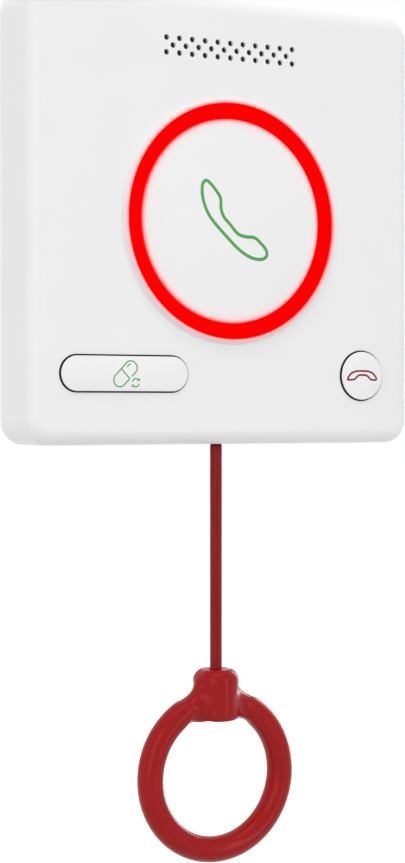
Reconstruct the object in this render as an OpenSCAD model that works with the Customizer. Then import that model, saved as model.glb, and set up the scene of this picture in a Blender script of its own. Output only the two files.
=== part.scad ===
// Wall-mounted medical call panel with a lit call button, two small buttons and a pull cord.
// The origin is the centre of the panel on the wall. +Y goes into the wall, +X is right, +Z is up.
// Pieces are drawn lying flat, as x, height on the wall, distance off the wall, and then stood up.

/* [Panel] */
// Width of the panel
panel_w = 125; // [121:0.5:135]
// Height of the panel
panel_h = 126.6; // [124:0.2:140]
// Distance from the wall to the front face
panel_d = 20; // [19.6:0.1:24]
// Wall thickness of the front cover
panel_wall = 2.2; // [1.8:0.1:2.4]
// Radius of the panel's corners, seen from the front
panel_corner_r = 6.8; // [5:0.2:9]
// Radius of the rounded front edge
panel_edge_r = 4.2; // [3:0.1:4.4]
// Gap between the cover's rear edge and the wall
wall_gap = 0.3; // [0.2:0.1:0.8]

/* [Call button] */
// Width of the light ring round the cap
light_w = 4.15; // [3:0.05:4.3]
// Height of the raised rim above the front face
bezel_rise = 1.7; // [1.2:0.1:2.4]
// Width of the raised rim at its top
bezel_w = 0.9; // [0.7:0.1:1.5]
// Radius of the call button's cap
cap_r = 29; // [28:0.1:29.4]
// Height of the cap's edge above the front face
cap_rise = 0.95; // [0.5:0.05:1.2]
// Height of the cap's dome above its edge
cap_dome = 1.0; // [0.4:0.1:1.6]
// Wall thickness of the caps
cap_wall = 1.8; // [1.4:0.1:2.2]
// Depth of the light ring below the raised rim
light_recess = 0.4; // [0.2:0.1:0.6]
// Travel of the call button
call_travel = 0.8; // [0.5:0.1:1]

/* [Small buttons] */
// Height of both small buttons above the middle of the band below the light ring
small_up = 4.45; // [3.2:0.05:4.9]
// Distance from the reminder button's centre to the panel's left edge
reminder_side = 28.6; // [28:0.1:29.4]
// Width of the reminder button's opening
reminder_w = 40.2; // [36:0.2:41]
// Height of the reminder button's opening
reminder_h = 10.6; // [9.6:0.1:11.2]
// Distance from the hang-up button's centre to the panel's right edge
hangup_side = 17.9; // [16.6:0.1:18.5]
// Diameter of the hang-up button's opening
hangup_d = 15; // [13:0.1:15.6]
// Gap between a small button and its opening
small_gap = 0.45; // [0.35:0.05:0.6]
// Height of the small buttons above the front face
small_rise = 0.75; // [0.65:0.05:1.4]
// Radius of the small buttons' rounded edge
small_edge_r = 0.2; // [0.15:0.05:0.3]
// Rise of the small buttons' crown above their edge
small_crown = 0.35; // [0.15:0.05:0.5]
// Travel of the small buttons
small_travel = 0.5; // [0.3:0.05:0.6]

/* [Sound] */
// Distance between neighbouring sound holes in a row
grille_pitch = 4.13; // [3.6:0.01:4.3]
// Number of sound holes in the top and bottom rows
grille_cols = 11; // [7:2:11]
// Diameter of a sound hole
grille_hole_d = 1.65; // [0.8:0.05:1.8]
// Thickness of the front cover where the sound holes are
grille_wall = 0.8; // [0.6:0.1:1.4]
// Length of the loudspeaker
speaker_l = 34; // [30:0.5:35]
// Room left above and below the loudspeaker
speaker_room = 3.15; // [2.8:0.05:4.4]

/* [Pull cord] */
// Diameter of the cord
cord_d = 3.5; // [2.8:0.1:3.6]
// Distance of the cord from the wall
cord_off = 11.7; // [11.4:0.1:12]
// Length of cord that shows between the panel and the pull ring
cord_drop = 64.9; // [40:0.1:120]
// Travel of the cord when it is pulled
pull_travel = 5; // [3:0.5:5]
// Outer diameter of the pull ring
ring_d = 50.5; // [44:0.5:60]
// Thickness of the pull ring
ring_tube = 7.5; // [6.4:0.1:8]
// Diameter of the hub that holds the cord
hub_d = 13.5; // [12.4:0.1:15]
// Rise of the hub above the ring
hub_rise = 5.4; // [4.4:0.1:7]
// Drop of the hub into the ring's opening
hub_dip = 1.8; // [1.6:0.1:3.4]
// Height of the hub's rounded shoulder
hub_shoulder = 3.5; // [2:0.1:4]

/* [Wall plate] */
// Thickness of the wall plate
plate_t = 3.0; // [2.8:0.1:3.4]
// Distance between the two wall screws
wall_screw_spacing = 60.3; // [50:0.1:66]
// Diameter of the holes for the wall screws
wall_screw_d = 4.5; // [3.5:0.1:5]
// Distance that the panel is lifted to leave its hooks
lift_travel = 6; // [5:0.2:7]

/* [Inside] */
// Thickness of the rear cover
rear_t = 1.8; // [1.6:0.1:2]
// Thickness of the circuit board
board_t = 1.6; // [1:0.1:1.8]
// Distance from the wall to the back of the circuit board
board_back = 10.6; // [10.4:0.1:10.8]
// Diameter of a battery cell
cell_d = 10.5; // [10.1:0.1:10.5]
// Length of a battery cell
cell_l = 44.5; // [40:0.5:45]
// Side of the small tactile switches
small_switch = 6; // [4.5:0.1:7]
// Side of the call switch
call_switch_side = 12; // [9:0.5:14]
// Wire diameter of the pull spring
spring_wire = 0.5; // [0.4:0.05:0.6]

/* [Hidden] */

$fn = 96;
small_fn = 48;
// Overlap that makes a cut or a joined form run past its neighbour
cut = 0.5;
// Clearance of a seated piece, and of a piece that slides or turns
seat = 0.05;
slide = 0.2;

// Front cover
front = panel_d;
under = front - panel_wall;
half_w = panel_w / 2;
half_h = panel_h / 2;
bore_w = panel_w - 2 * panel_wall;
bore_h = panel_h - 2 * panel_wall;
bore_corner_r = panel_corner_r - panel_wall;
bore_edge_r = max(panel_edge_r - panel_wall, 0.4);
cap_gap = 0.25;
ring_play = 0.1;
bezel_r = cap_r + cap_gap + light_w + ring_play;
bezel_top = front + bezel_rise;
bezel_lip = 2;
bezel_foot = 0.3;
bezel_edge_r = 0.4;
bezel_draft = 0.6;

// Wall plate and its hooks
plate_gap = 0.4;
plate_side_gap = 1;
plate_w = bore_w - 2 * plate_side_gap;
plate_top = bore_h / 2 - plate_side_gap;
plate_bottom = bore_h / 2 - lift_travel - 2 * plate_side_gap;
plate_recess = 1;
plate_land = 8;
plate_cross = 13;
sink_r = wall_screw_d / 2 + 2.05;
hook_x = 25;
hook_end = 13.1;
hook_tops = [plate_top - hook_end, -(plate_bottom - hook_end)];
hook_w = 8;
hook_stem = 3;
hook_lip = 4;
hook_t = 1.5;
hook_gap = 0.3;
hook_seat = 0.1;

// Rear cover, its seal and its screws
rear_back = plate_t + plate_gap;
rear_in = rear_back + rear_t;
rear_gap = 0.25;
seal_t = 0.5;
ledge_w = 0.8;
ledge_t = 1.2;
ledge_back = rear_in + seal_t;
post_side = 8.2;
post_end = 7.7;
post_x = half_w - post_side;
post_y = half_h - post_end;
post_r = 3.5;
rear_post_r = 4.4;
post_meet = rear_in + 2;
cover_screw_r = 1.45;
cover_head_r = 2.7;
cover_head_h = 1.8;
head_sink = 0.2;
cover_screw_l = 8;

// Battery bay, left of the light ring
cell_gap = 0.1;
bay_wall = 0.7;
bay_left = -(bore_w / 2 - ledge_w - cell_gap);
bay_in = bay_left + bay_wall;
cells_x = [bay_in + cell_gap + cell_d / 2, bay_in + 2 * cell_gap + 1.5 * cell_d];
bay_right = bay_in + 3 * cell_gap + 2 * cell_d;
bay_mid = (bay_in + bay_right) / 2;
contact_t = 0.3;
contact_w = 8;
cell_spring_l = 5;
cell_shift = cell_spring_l / 2;
bay_half = cell_l / 2 + cell_shift + contact_t + seat;
bay_roof = rear_in + cell_gap + cell_d + cell_gap;
cell_off = rear_in + cell_gap + cell_d / 2;
tag_t = 0.6;
tag_w = 2;
board_tag_l = 2.6;
cell_nub_r = 2.7;
cell_nub_l = 1;
cell_spring_r = 3.6;

// Battery door: its plate lies in a recess, and its two hooks reach behind the floor
door_gap = 0.25;
door_travel = 4;
door_floor = 0.8;
door_t = rear_t - door_floor - 2 * seat;
door_land = 1.5;
door_open = bay_half - 2;
door_hook_w = 4;
door_hook_l = 1.6;
door_reach = 1.8;
door_lip_t = 0.8;
door_hook_tops = [door_open - door_gap, -(bay_half + bay_wall + door_reach + 2 * door_gap)];
door_slot_low = door_hook_tops[1] - door_hook_l - door_travel - door_gap;
door_low = door_slot_low - 1;
grip_w = 10;
grip_line = 0.8;
grip_pitch = 2;
grip_low = 5;
grip_deep = 0.3;
door_high = door_open + door_land;

// Circuit board
board_front = board_back + board_t;
board_side = 3.3;
board_w = bore_w - 2 * board_side;
board_h = bore_h - 2 * board_side;
board_bay_x = bay_right + bay_wall + 0.3;
board_bay_y = bay_half + bay_wall + 0.5;
board_corner = post_r + 1;
board_post_side = 7;
board_post_rises = [9.7, 4.7];
board_post_x = board_w / 2 - board_post_side;
board_posts_y = [board_bay_y + board_post_rises[0], -board_bay_y - board_post_rises[1]];
board_post_r = 2.8;
board_screw_r = 1;
board_screw_bite = 4;
board_screw_l = board_t + board_screw_bite;
board_head_r = 2.1;
board_head_h = 1.5;
chip_w = 10;
chip_t = 1.2;
chip_at = [6, 16];
radio_w = 12;
radio_l = 20;
radio_t = 2.4;
radio_side = 2.2;
radio_low = -6;
antenna_t = 0.6;
antenna_side = 0.8;
antenna_foot = 3;
antenna_l = 18;
antenna_h = 4;

// Light ring and what holds it
light_in = cap_r + cap_gap;
light_out = bezel_r - ring_play;
light_top_out = bezel_top - light_recess;
light_top_in = front + cap_rise - 0.35;
light_flange_w = 1.4;
light_flange_r = light_out + light_flange_w;
light_flange_top = under - seat;
light_flange_t = 1.1;
light_foot = light_flange_top - light_flange_t;
cap_flange_w = 1.6;
cap_flange_r = cap_r + cap_flange_w;
carrier_in = cap_flange_r + 0.3;
carrier_wall = 0.8;
carrier_floor = 0.5;
ledge_under = under - 0.2;
led_count = 16;
led_r = (carrier_in + light_flange_r) / 2;
led_w = 1.6;
led_l = 2.8;
led_t = 0.8;

// Call button
cap_edge = front + cap_rise;
cap_under = cap_edge - cap_wall;
cap_flange_top = ledge_under - 0.1;
cap_flange_t = 1.3;
call_switch_h = 3;
call_plunger_r = 3.4;
call_plunger_top = board_front + call_switch_h + 1.1;
call_post_r = 3;
call_spring_r = 2.5;
call_spring_wire = 0.6;
call_pin_r = call_spring_r - call_spring_wire - 0.4;
call_pin_l = 2.4;
switch_floor = 0.6;
switch_play = 0.1;
cap_edge_r = 0.5;
call_spring_places = [90, 210, 330];
call_spring_from = 20;

// Small buttons
small_drop = (bore_h / 2 + light_flange_r) / 2 - small_up;
reminder_left = half_w - reminder_side;
hangup_right = half_w - hangup_side;
seal_foot = 0.5;
seal_lip = 1.5;
seal_skirt = 1.2;
small_top = front + small_rise;
small_flange_top = under - seal_foot - 0.1;
small_flange_t = 1.2;
small_flange_w = seal_skirt;
small_switch_h = 3.2;
small_plunger_r = 1.7;
small_plunger_top = board_front + small_switch_h + 0.7;
small_post_r = 1.6;
collar_t = 0.55;
collar_top = small_top - small_edge_r - 0.05;

// Loudspeaker and microphone
grille_up = 0.55;
mesh_over = 0.2;
grille_rise = (light_flange_r + bore_h / 2) / 2 + grille_up;
speaker_w = bore_h / 2 - light_flange_r - 2 * speaker_room;
mesh_t = 0.3;
mesh_rim = 2.2;
boot_r = 2.6;
gasket_t = 0.6;
gasket_w = 1.4;
mesh_w = (grille_cols - 1) * grille_pitch + 2 * (mesh_rim + boot_r);
mesh_l = speaker_w + 2 * mesh_over;
mesh_back = front - grille_wall - mesh_t;
speaker_top = mesh_back - gasket_t;
speaker_foot = board_front + 0.5;
speaker_wall = 0.8;
magnet_r = 0.3 * speaker_w;
magnet_h = 1.8;
pole_r = magnet_r / 2;
pole_gap = 1.4;
cone_t = 1;
cone_skin = 0.4;
cone_roll = 2;
speaker_strip_w = 3;
speaker_strip_t = 1.2;
speaker_strip_x = magnet_r + 4;
mic_x = (grille_cols - 1) / 2 * grille_pitch;
mic_rise = grille_pitch / 2;
mic_w = 3;
mic_h = 1;

// Pull mechanism, at the middle of the lower edge
cord_r = cord_d / 2;
cord_play = 0.15;
cord_bore_r = cord_r + cord_play;
bush_r = cord_bore_r + 1.45;
bush_flange_r = bush_r + 1.3;
bush_flange_t = 1.3;
bush_mouth_r = cord_bore_r + 0.6;
wall_in = -bore_h / 2;
bush_in = wall_in + seat + bush_flange_t;
guide_x = 7;
guide_wall = 1.8;
guide_foot = bush_in + seat;
guide_floor_t = 1.3;
guide_floor = guide_foot + guide_floor_t;
guide_bore_r = cord_bore_r + 0.2;
slider_x = guide_x - guide_wall - slide;
slider_deep = 4.1;
pull_spring_r = 2.6;
spring_pocket_r = pull_spring_r + 0.15;
spring_pocket_l = 4.2;
slider_web = 1;
ferrule_r = 2.4;
ferrule_l = 3.6;
slider_foot = guide_floor + pull_travel + slide;
spring_seat = slider_foot + spring_pocket_l;
ferrule_foot = spring_seat + slider_web;
slider_top = ferrule_foot + seat + ferrule_l + 0.35;
guide_cap_in = slider_top + 0.1;
guide_top = guide_cap_in + 1.2;
guide_pad_gap = 0.25;
ramp_slope = 0.2;
ramp_play = 0.05;
plunger_up = slider_foot + 2;
plunger_r = 1;
plunger_play = 0.08;
ramp_lip = 0.4;
ramp_x = slider_x - 1.2;
plunger_tip = ramp_x + plunger_r * (sqrt(1 + ramp_slope * ramp_slope) - 1) + ramp_play;
plunger_l = 5.6;
pull_switch_x = guide_x + 0.1;
pull_switch_w = 6.9;
pull_switch_l = 7;
pull_switch_deep = 6;
switch_leg_l = 3.4;
switch_leg_w = 0.8;
switch_leg_t = 0.4;
notch_left = -guide_x - 1;
notch_right = pull_switch_x + pull_switch_w + 1.5;
guide_ear_x = guide_x + 2.8;
guide_ear_r = 2.6;
guide_ear_t = 1.8;
guide_ear_top = under - 2.8;
guide_ear_rise = 8.5;
guide_ears_y = [wall_in + guide_ear_rise, plunger_up + pull_switch_l / 2 + guide_ear_r + 0.3];
guide_screw_r = 0.85;
guide_screw_play = 0.15;
guide_head_r = 1.9;
guide_head_h = 1.4;
guide_screw_l = guide_ear_t + 2;

// Cord and pull ring, hanging below the panel
bend_drop = 1;
bend_z = -half_h - bend_drop;
bend_gap = 0.05;
hub_top = -half_h - cord_drop;
hub_bottom = hub_top - hub_rise - ring_tube - hub_dip;
ring_z = hub_top - hub_rise - ring_d / 2;
ring_r = (ring_d - ring_tube) / 2;
hub_lower_r = 1.6;
hub_shoulder_turn = 55;
hub_flat_r = 4.6;
hub_roof = 8;
pocket_r = 3.4;
pocket_roof = hub_top - hub_roof;
knot_r = 2.8;
knot_top = pocket_roof - 0.1;
knot_l = 4.6;
cord_sides = 8;
// Points of the free cord's route, as shares of its length from the bend to the knot
cord_route = [0, 0.1, 0.2, 0.3, 0.4, 0.5, 0.6, 0.7, 0.8, 0.9, 1];
inner_route = [0, 0.35, 0.7, 1];

// Colours
white_c = "#ECECEC";
plate_c = "#E2E2DF";
lamp_c = "#FF1010";
dark_c = "#303030";
board_c = "#1E6B3C";
metal_c = "#B9BCC0";
brass_c = "#C9A656";
red_c = "#A32023";

// Stands a flat-drawn piece up against the wall
module on_wall() {
    rotate([90, 0, 0]) children();
}

// Turns a profile of radius and height about the vertical line of the cord
module on_cord() {
    translate([0, -cord_off, 0]) rotate_extrude() children();
}

// Upright oval arc that falls from a flat top at x = x0 to a vertical side at x = x1, height h
function shoulder(x0, x1, top, h, turn, n) =
    let (rx = (x1 - x0) / (1 - cos(turn)), ry = h / sin(turn))
        [for (i = [0 : n]) let (a = turn * (1 - i / n)) [x1 - rx * (1 - cos(a)), top - h + ry * sin(a)]];

function arc(cx, cy, r, a0, a1, n) =
    [for (i = [0 : n]) let (a = a0 + (a1 - a0) * i / n) [cx + r * cos(a), cy + r * sin(a)]];

// Half profile of a slab with a rounded top edge
module slab_profile(r, h, edge) {
    polygon(concat([[0, 0], [r, 0]], arc(r - edge, h - edge, edge, 0, 90, 12), [[0, h]]));
}

module slab_bar(l, r, h, edge) {
    rotate([90, 0, 90]) linear_extrude(l) union() {
        slab_profile(r, h, edge);
        mirror([1, 0]) slab_profile(r, h, edge);
    }
}

// Slab with round corners and a rounded top edge, standing on z = 0
module rounded_slab(w, l, h, corner, edge) {
    x = w / 2 - corner;
    y = l / 2 - corner;
    for (sx = [-1, 1], sy = [-1, 1]) {
        translate([sx * x, sy * y, 0]) rotate_extrude() slab_profile(corner, h, edge);
    }
    for (sy = [-1, 1]) {
        translate([-x, sy * y, 0]) slab_bar(2 * x, corner, h, edge);
    }
    for (sx = [-1, 1]) {
        translate([sx * x, y, 0]) rotate([0, 0, -90]) slab_bar(2 * y, corner, h, edge);
    }
    translate([-x, -y, 0]) cube([2 * x, 2 * y, h]);
}

// Half profile of a cap: a rounded edge at height h, and a low crown above it
module crown_profile(r, h, edge, crown) {
    flat_r = r - edge;
    dome_r = (flat_r * flat_r + crown * crown) / (2 * crown);
    dome_a = asin(flat_r / dome_r);
    polygon(concat(
        [[0, 0], [r, 0]],
        arc(flat_r, h - edge, edge, 0, 80, 8),
        arc(0, h + crown - dome_r, dome_r, 90 - dome_a, 90, 10)
    ));
}

// Stadium with straight sides, a rounded top edge and a crown
module crowned_stadium(w, l, h, edge, crown) {
    x = (w - l) / 2;
    for (s = [-1, 1]) {
        translate([s * x, 0, 0]) rotate_extrude() crown_profile(l / 2, h, edge, crown);
    }
    translate([-x, 0, 0]) rotate([90, 0, 90]) linear_extrude(2 * x) union() {
        crown_profile(l / 2, h, edge, crown);
        mirror([1, 0]) crown_profile(l / 2, h, edge, crown);
    }
}

module rounded_plate(w, l, h, corner) {
    x = w / 2 - corner;
    y = l / 2 - corner;
    for (sx = [-1, 1], sy = [-1, 1]) {
        translate([sx * x, sy * y, 0]) cylinder(r = corner, h = h);
    }
    translate([-w / 2, -y, 0]) cube([w, 2 * y, h]);
    translate([-x, -l / 2, 0]) cube([2 * x, l, h]);
}

module stadium_plate(w, l, h) {
    x = (w - l) / 2;
    for (s = [-1, 1]) {
        translate([s * x, 0, 0]) cylinder(r = l / 2, h = h);
    }
    translate([-x, -l / 2, 0]) cube([2 * x, l, h]);
}

module tube(r_out, r_in, h) {
    difference() {
        cylinder(r = r_out, h = h);
        translate([0, 0, -cut]) cylinder(r = r_in, h = h + 2 * cut);
    }
}

// Screw with its head towards the wall; z = 0 is where the head seats
module screw(shank_r, l, head_r, head_h) {
    cylinder(r = shank_r, h = l, $fn = small_fn);
    difference() {
        translate([0, 0, -head_h]) cylinder(r = head_r, h = head_h, $fn = small_fn);
        for (a = [0, 90]) {
            rotate([0, 0, a]) translate([-head_r * 0.6, -head_r * 0.12, -head_h - cut]) {
                cube([head_r * 1.2, head_r * 0.24, head_h * 0.5 + cut]);
            }
        }
    }
}

module at_posts() {
    for (x = [-post_x, post_x], y = [-post_y, post_y]) translate([x, y, 0]) children();
}

module at_board_posts() {
    for (x = [-board_post_x, board_post_x], y = board_posts_y) translate([x, y, 0]) children();
}

module at_leds() {
    for (i = [0 : led_count - 1]) rotate([0, 0, (i + 0.5) * 360 / led_count]) children();
}

module at_guide_ears() {
    translate([-guide_ear_x, guide_ears_y[0], 0]) children();
    translate([guide_ear_x, guide_ears_y[1], 0]) children();
}

module at_reminder() {
    translate([-reminder_left, -small_drop, 0]) children();
}

module at_hangup() {
    translate([hangup_right, -small_drop, 0]) children();
}

module at_grille() {
    translate([0, grille_rise, 0]) children();
}

// Wall plate: screwed to the wall, carries the unit on four hooks
module wall_plate() {
    plate_l = plate_top + plate_bottom;
    sink_t = sink_r - wall_screw_d / 2;
    pocket_w = (plate_w - plate_cross) / 2 - plate_land;
    pocket_tops = [plate_top - plate_land, -plate_cross / 2];
    pocket_ls = [plate_top - plate_land - plate_cross / 2, plate_bottom - plate_land - plate_cross / 2];
    color(plate_c) on_wall() {
        difference() {
            translate([0, (plate_top - plate_bottom) / 2, 0]) {
                rounded_plate(plate_w, plate_l, plate_t, bore_corner_r - plate_side_gap);
            }
            for (x = [plate_cross / 2, -plate_cross / 2 - pocket_w], i = [0, 1]) {
                translate([x, pocket_tops[i] - pocket_ls[i], -cut]) {
                    cube([pocket_w, pocket_ls[i], plate_recess + cut]);
                }
            }
            for (s = [-1, 1]) translate([s * wall_screw_spacing / 2, 0, 0]) {
                translate([0, 0, -cut]) cylinder(d = wall_screw_d, h = plate_t + 2 * cut);
                translate([0, 0, plate_t - sink_t]) {
                    cylinder(r1 = wall_screw_d / 2, r2 = sink_r, h = sink_t + 0.001);
                }
            }
        }
        for (s = [-1, 1], top = hook_tops) translate([s * hook_x, top, 0]) hook();
    }
}

// Hook: its lip stands behind the rear cover, above the stem
module hook() {
    lip_back = rear_in + hook_gap;
    lip_front = lip_back + hook_t;
    translate([-hook_w / 2, -hook_stem, plate_t - cut]) cube([hook_w, hook_stem, lip_front - plate_t + cut]);
    translate([-hook_w / 2, -cut, lip_back]) cube([hook_w, hook_lip + cut, hook_t]);
}

// Rear cover: closes the unit, holds the battery bay and hangs on the hooks
module rear_cover() {
    w = bore_w - 2 * rear_gap;
    l = bore_h - 2 * rear_gap;
    bay_w = bay_right - bay_in;
    bay_l = 2 * (bay_half + bay_wall);
    recess_l = door_high - door_low + door_travel + 2 * door_gap;
    slot_low = hook_stem + lift_travel + 2 * slide;
    color(white_c) on_wall() difference() {
        union() {
            translate([0, 0, rear_back]) rounded_plate(w, l, rear_t, bore_corner_r - rear_gap);
            at_posts() translate([0, 0, rear_back]) cylinder(r = rear_post_r, h = post_meet - rear_back);
            translate([bay_left, -bay_l / 2, rear_back]) {
                cube([bay_right + bay_wall - bay_left, bay_l, bay_roof + bay_wall - rear_back]);
            }
            guide_pad();
        }
        at_posts() translate([0, 0, rear_back - cut]) {
            cylinder(r = cover_head_r + slide, h = cover_head_h + head_sink + cut);
            cylinder(r = cover_screw_r + slide, h = post_meet);
        }
        for (s = [-1, 1], top = hook_tops) {
            translate([s * hook_x - hook_w / 2 - slide, top - slot_low, rear_back - cut]) {
                cube([hook_w + 2 * slide, slot_low + hook_seat, rear_t + 2 * cut]);
            }
        }
        translate([bay_in, -bay_half, rear_in]) cube([bay_w, 2 * bay_half, bay_roof - rear_in]);
        translate([bay_in, -door_open, rear_back - cut]) cube([bay_w, 2 * door_open, rear_t + 2 * cut]);
        translate([bay_in, door_low - door_travel - door_gap, rear_back - cut]) {
            cube([bay_w + door_land, recess_l, rear_t - door_floor + cut]);
        }
        translate([bay_mid - door_hook_w / 2 - slide, door_slot_low, rear_back - cut]) {
            cube([door_hook_w + 2 * slide, door_hook_tops[1] + door_gap - door_slot_low, rear_t + 2 * cut]);
        }
        for (x = cells_x) translate([x - tag_w / 2 - slide, bay_half - cut, board_back - tag_t - slide]) {
            cube([tag_w + 2 * slide, bay_wall + 2 * cut, tag_t + 2 * slide]);
        }
    }
}

// Pad that closes the open back of the pull mechanism's guide
module guide_pad() {
    w = 2 * (slider_x - slide);
    low = guide_floor + cut;
    top = cord_off - slider_deep - guide_pad_gap;
    translate([-w / 2, low, rear_in - cut]) cube([w, slider_top - low, top - rear_in + cut]);
}

// Front cover: the moulded shell with the raised rim, the openings and the screw posts
module front_cover() {
    color(white_c) on_wall() {
        difference() {
            union() {
                difference() {
                    translate([0, 0, wall_gap]) {
                        rounded_slab(panel_w, panel_h, front - wall_gap, panel_corner_r, panel_edge_r);
                    }
                    translate([0, 0, wall_gap - cut]) {
                        rounded_slab(bore_w, bore_h, under - wall_gap + cut, bore_corner_r, bore_edge_r);
                    }
                }
                rotate_extrude() polygon(concat(
                    [[bezel_r - bezel_lip, under], [bezel_r + bezel_w + bezel_draft + bezel_foot, under],
                        [bezel_r + bezel_w + bezel_draft, front]],
                    arc(bezel_r + bezel_w - bezel_edge_r, bezel_top - bezel_edge_r, bezel_edge_r, 0, 90, 8),
                    [[bezel_r - bezel_lip, bezel_top]]
                ));
                cover_posts();
            }
            translate([0, 0, under - cut]) {
                cylinder(r = bezel_r, h = bezel_rise + panel_wall + 2 * cut, $fn = 180);
            }
            at_reminder() translate([0, 0, under - cut]) {
                stadium_plate(reminder_w, reminder_h, panel_wall + 2 * cut);
            }
            at_hangup() translate([0, 0, under - cut]) cylinder(d = hangup_d, h = panel_wall + 2 * cut);
            sound_holes();
            at_grille() translate([0, 0, under - cut]) {
                stadium_plate(mesh_w + 2 * seat, mesh_l + 2 * seat, panel_wall - grille_wall + cut);
            }
            at_posts() translate([0, 0, post_meet - cut]) {
                cylinder(r = cover_screw_r + seat, h = cover_screw_l + cut, $fn = small_fn);
            }
            at_board_posts() translate([0, 0, board_front - cut]) {
                cylinder(r = board_screw_r + seat, h = under - board_front, $fn = small_fn);
            }
            at_guide_ears() translate([0, 0, guide_ear_top - cut]) {
                cylinder(r = guide_screw_r + seat, h = under - guide_ear_top, $fn = small_fn);
            }
            translate([0, -half_h - cut, cord_off]) rotate([-90, 0, 0]) {
                cylinder(r = bush_r + seat, h = panel_wall + 2 * cut);
            }
        }
        seal_ledge();
    }
}

module cover_posts() {
    at_posts() translate([0, 0, post_meet + seat]) cylinder(r = post_r, h = under - post_meet);
    at_board_posts() translate([0, 0, board_front + seat]) {
        cylinder(r = board_post_r, h = under - board_front);
    }
    at_guide_ears() translate([0, 0, guide_ear_top + seat]) {
        cylinder(r = guide_ear_r, h = under - guide_ear_top);
    }
}

// Ledge inside the skirt that the seal is pressed against
module seal_ledge() {
    w = bore_w - 2 * ledge_w;
    l = bore_h - 2 * ledge_w;
    difference() {
        translate([0, 0, ledge_back]) {
            rounded_plate(bore_w + cut, bore_h + cut, ledge_t, bore_corner_r + cut / 2);
        }
        translate([0, 0, ledge_back - cut]) {
            rounded_plate(w, l, ledge_t + 2 * cut, bore_corner_r - ledge_w);
        }
    }
}

module sound_holes() {
    at_grille() for (row = [-1 : 1]) {
        cols = row == 0 ? grille_cols - 1 : grille_cols;
        for (i = [0 : cols - 1]) {
            translate([(i - (cols - 1) / 2) * grille_pitch, row * grille_pitch / 2, under - cut]) {
                cylinder(d = grille_hole_d, h = panel_wall + 2 * cut, $fn = 24);
            }
        }
    }
}

// Rubber seal between the two covers
module cover_seal() {
    w = bore_w - 2 * rear_gap;
    l = bore_h - 2 * rear_gap;
    side = ledge_w - rear_gap;
    color(dark_c) on_wall() difference() {
        translate([0, 0, rear_in]) rounded_plate(w, l, seal_t, bore_corner_r - rear_gap);
        translate([0, 0, rear_in - cut]) {
            rounded_plate(w - 2 * side, l - 2 * side, seal_t + 2 * cut, bore_corner_r - ledge_w);
        }
    }
}

module cover_screws() {
    color(metal_c) on_wall() at_posts() translate([0, 0, rear_back + head_sink + cover_head_h]) {
        screw(cover_screw_r, cover_screw_l, cover_head_r, cover_head_h);
    }
}

// Light ring: clear red light guide between the raised rim and the cap
module light_ring() {
    color(lamp_c) on_wall() rotate_extrude($fn = 180) polygon([
        [light_in, light_top_in], [light_out, light_top_out], [light_out, light_flange_top],
        [light_flange_r, light_flange_top], [light_flange_r, light_foot], [carrier_in, light_foot],
        [carrier_in, ledge_under], [light_in, ledge_under]
    ]);
}

// Carrier: white channel with a window for each lamp; it presses the light ring to the cover
module ring_carrier() {
    h = light_foot - board_front - 2 * seat;
    color(white_c) on_wall() translate([0, 0, board_front + seat]) difference() {
        rotate_extrude() polygon([
            [carrier_in, 0], [light_flange_r, 0], [light_flange_r, h], [light_flange_r - carrier_wall, h],
            [light_flange_r - carrier_wall, carrier_floor], [carrier_in + carrier_wall, carrier_floor],
            [carrier_in + carrier_wall, h], [carrier_in, h]
        ]);
        at_leds() {
            translate([led_r - led_w / 2 - slide, -led_l / 2 - slide, -cut]) {
                cube([led_w + 2 * slide, led_l + 2 * slide, carrier_floor + 2 * cut]);
            }
        }
    }
}

// Circuit board with its notches for the posts, the battery bay and the pull mechanism
module circuit_board() {
    corner_x = post_x - board_corner;
    corner_y = post_y - board_corner;
    corner_l = 2 * (post_side + post_end);
    color(board_c) on_wall() translate([0, 0, board_back]) difference() {
        translate([-board_w / 2, -board_h / 2, 0]) cube([board_w, board_h, board_t]);
        for (sx = [-1, 1], sy = [-1, 1]) {
            translate([sx * corner_x, sy * corner_y, -cut]) scale([sx, sy, 1]) {
                cube([corner_l, corner_l, board_t + 2 * cut]);
            }
        }
        translate([-panel_w, -board_bay_y, -cut]) {
            cube([panel_w + board_bay_x, 2 * board_bay_y, board_t + 2 * cut]);
        }
        translate([notch_left, -panel_h, -cut]) {
            cube([notch_right - notch_left, panel_h + guide_top + 0.5, board_t + 2 * cut]);
        }
        at_guide_ears() translate([0, 0, -cut]) cylinder(r = guide_ear_r + 0.6, h = board_t + 2 * cut);
        at_board_posts() translate([0, 0, -cut]) cylinder(r = board_screw_r + 0.2, h = board_t + 2 * cut);
    }
}

module board_screws() {
    color(metal_c) on_wall() at_board_posts() translate([0, 0, board_back]) {
        screw(board_screw_r, board_screw_l, board_head_r, board_head_h);
    }
}

module ring_leds() {
    color("#F5E9C8") on_wall() at_leds() {
        translate([led_r - led_w / 2, -led_l / 2, board_front]) cube([led_w, led_l, led_t]);
    }
}

module controller_chip() {
    color(dark_c) on_wall() translate([chip_at[0], chip_at[1], board_back - chip_t]) {
        cube([chip_w, chip_w, chip_t]);
    }
}

module radio_module() {
    color(metal_c) on_wall() translate([board_w / 2 - radio_side - radio_w, radio_low, board_front]) {
        cube([radio_w, radio_l, radio_t]);
    }
}

// Antenna: bent metal strip that stands on the board's right edge
module antenna() {
    low = radio_low + radio_l + 2.5;
    color(brass_c) on_wall() translate([board_w / 2 - antenna_side - antenna_t, low, board_front]) {
        cube([antenna_t, antenna_foot, antenna_h]);
        translate([0, 0, antenna_h - antenna_t]) cube([antenna_t, antenna_l, antenna_t]);
    }
}

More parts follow.
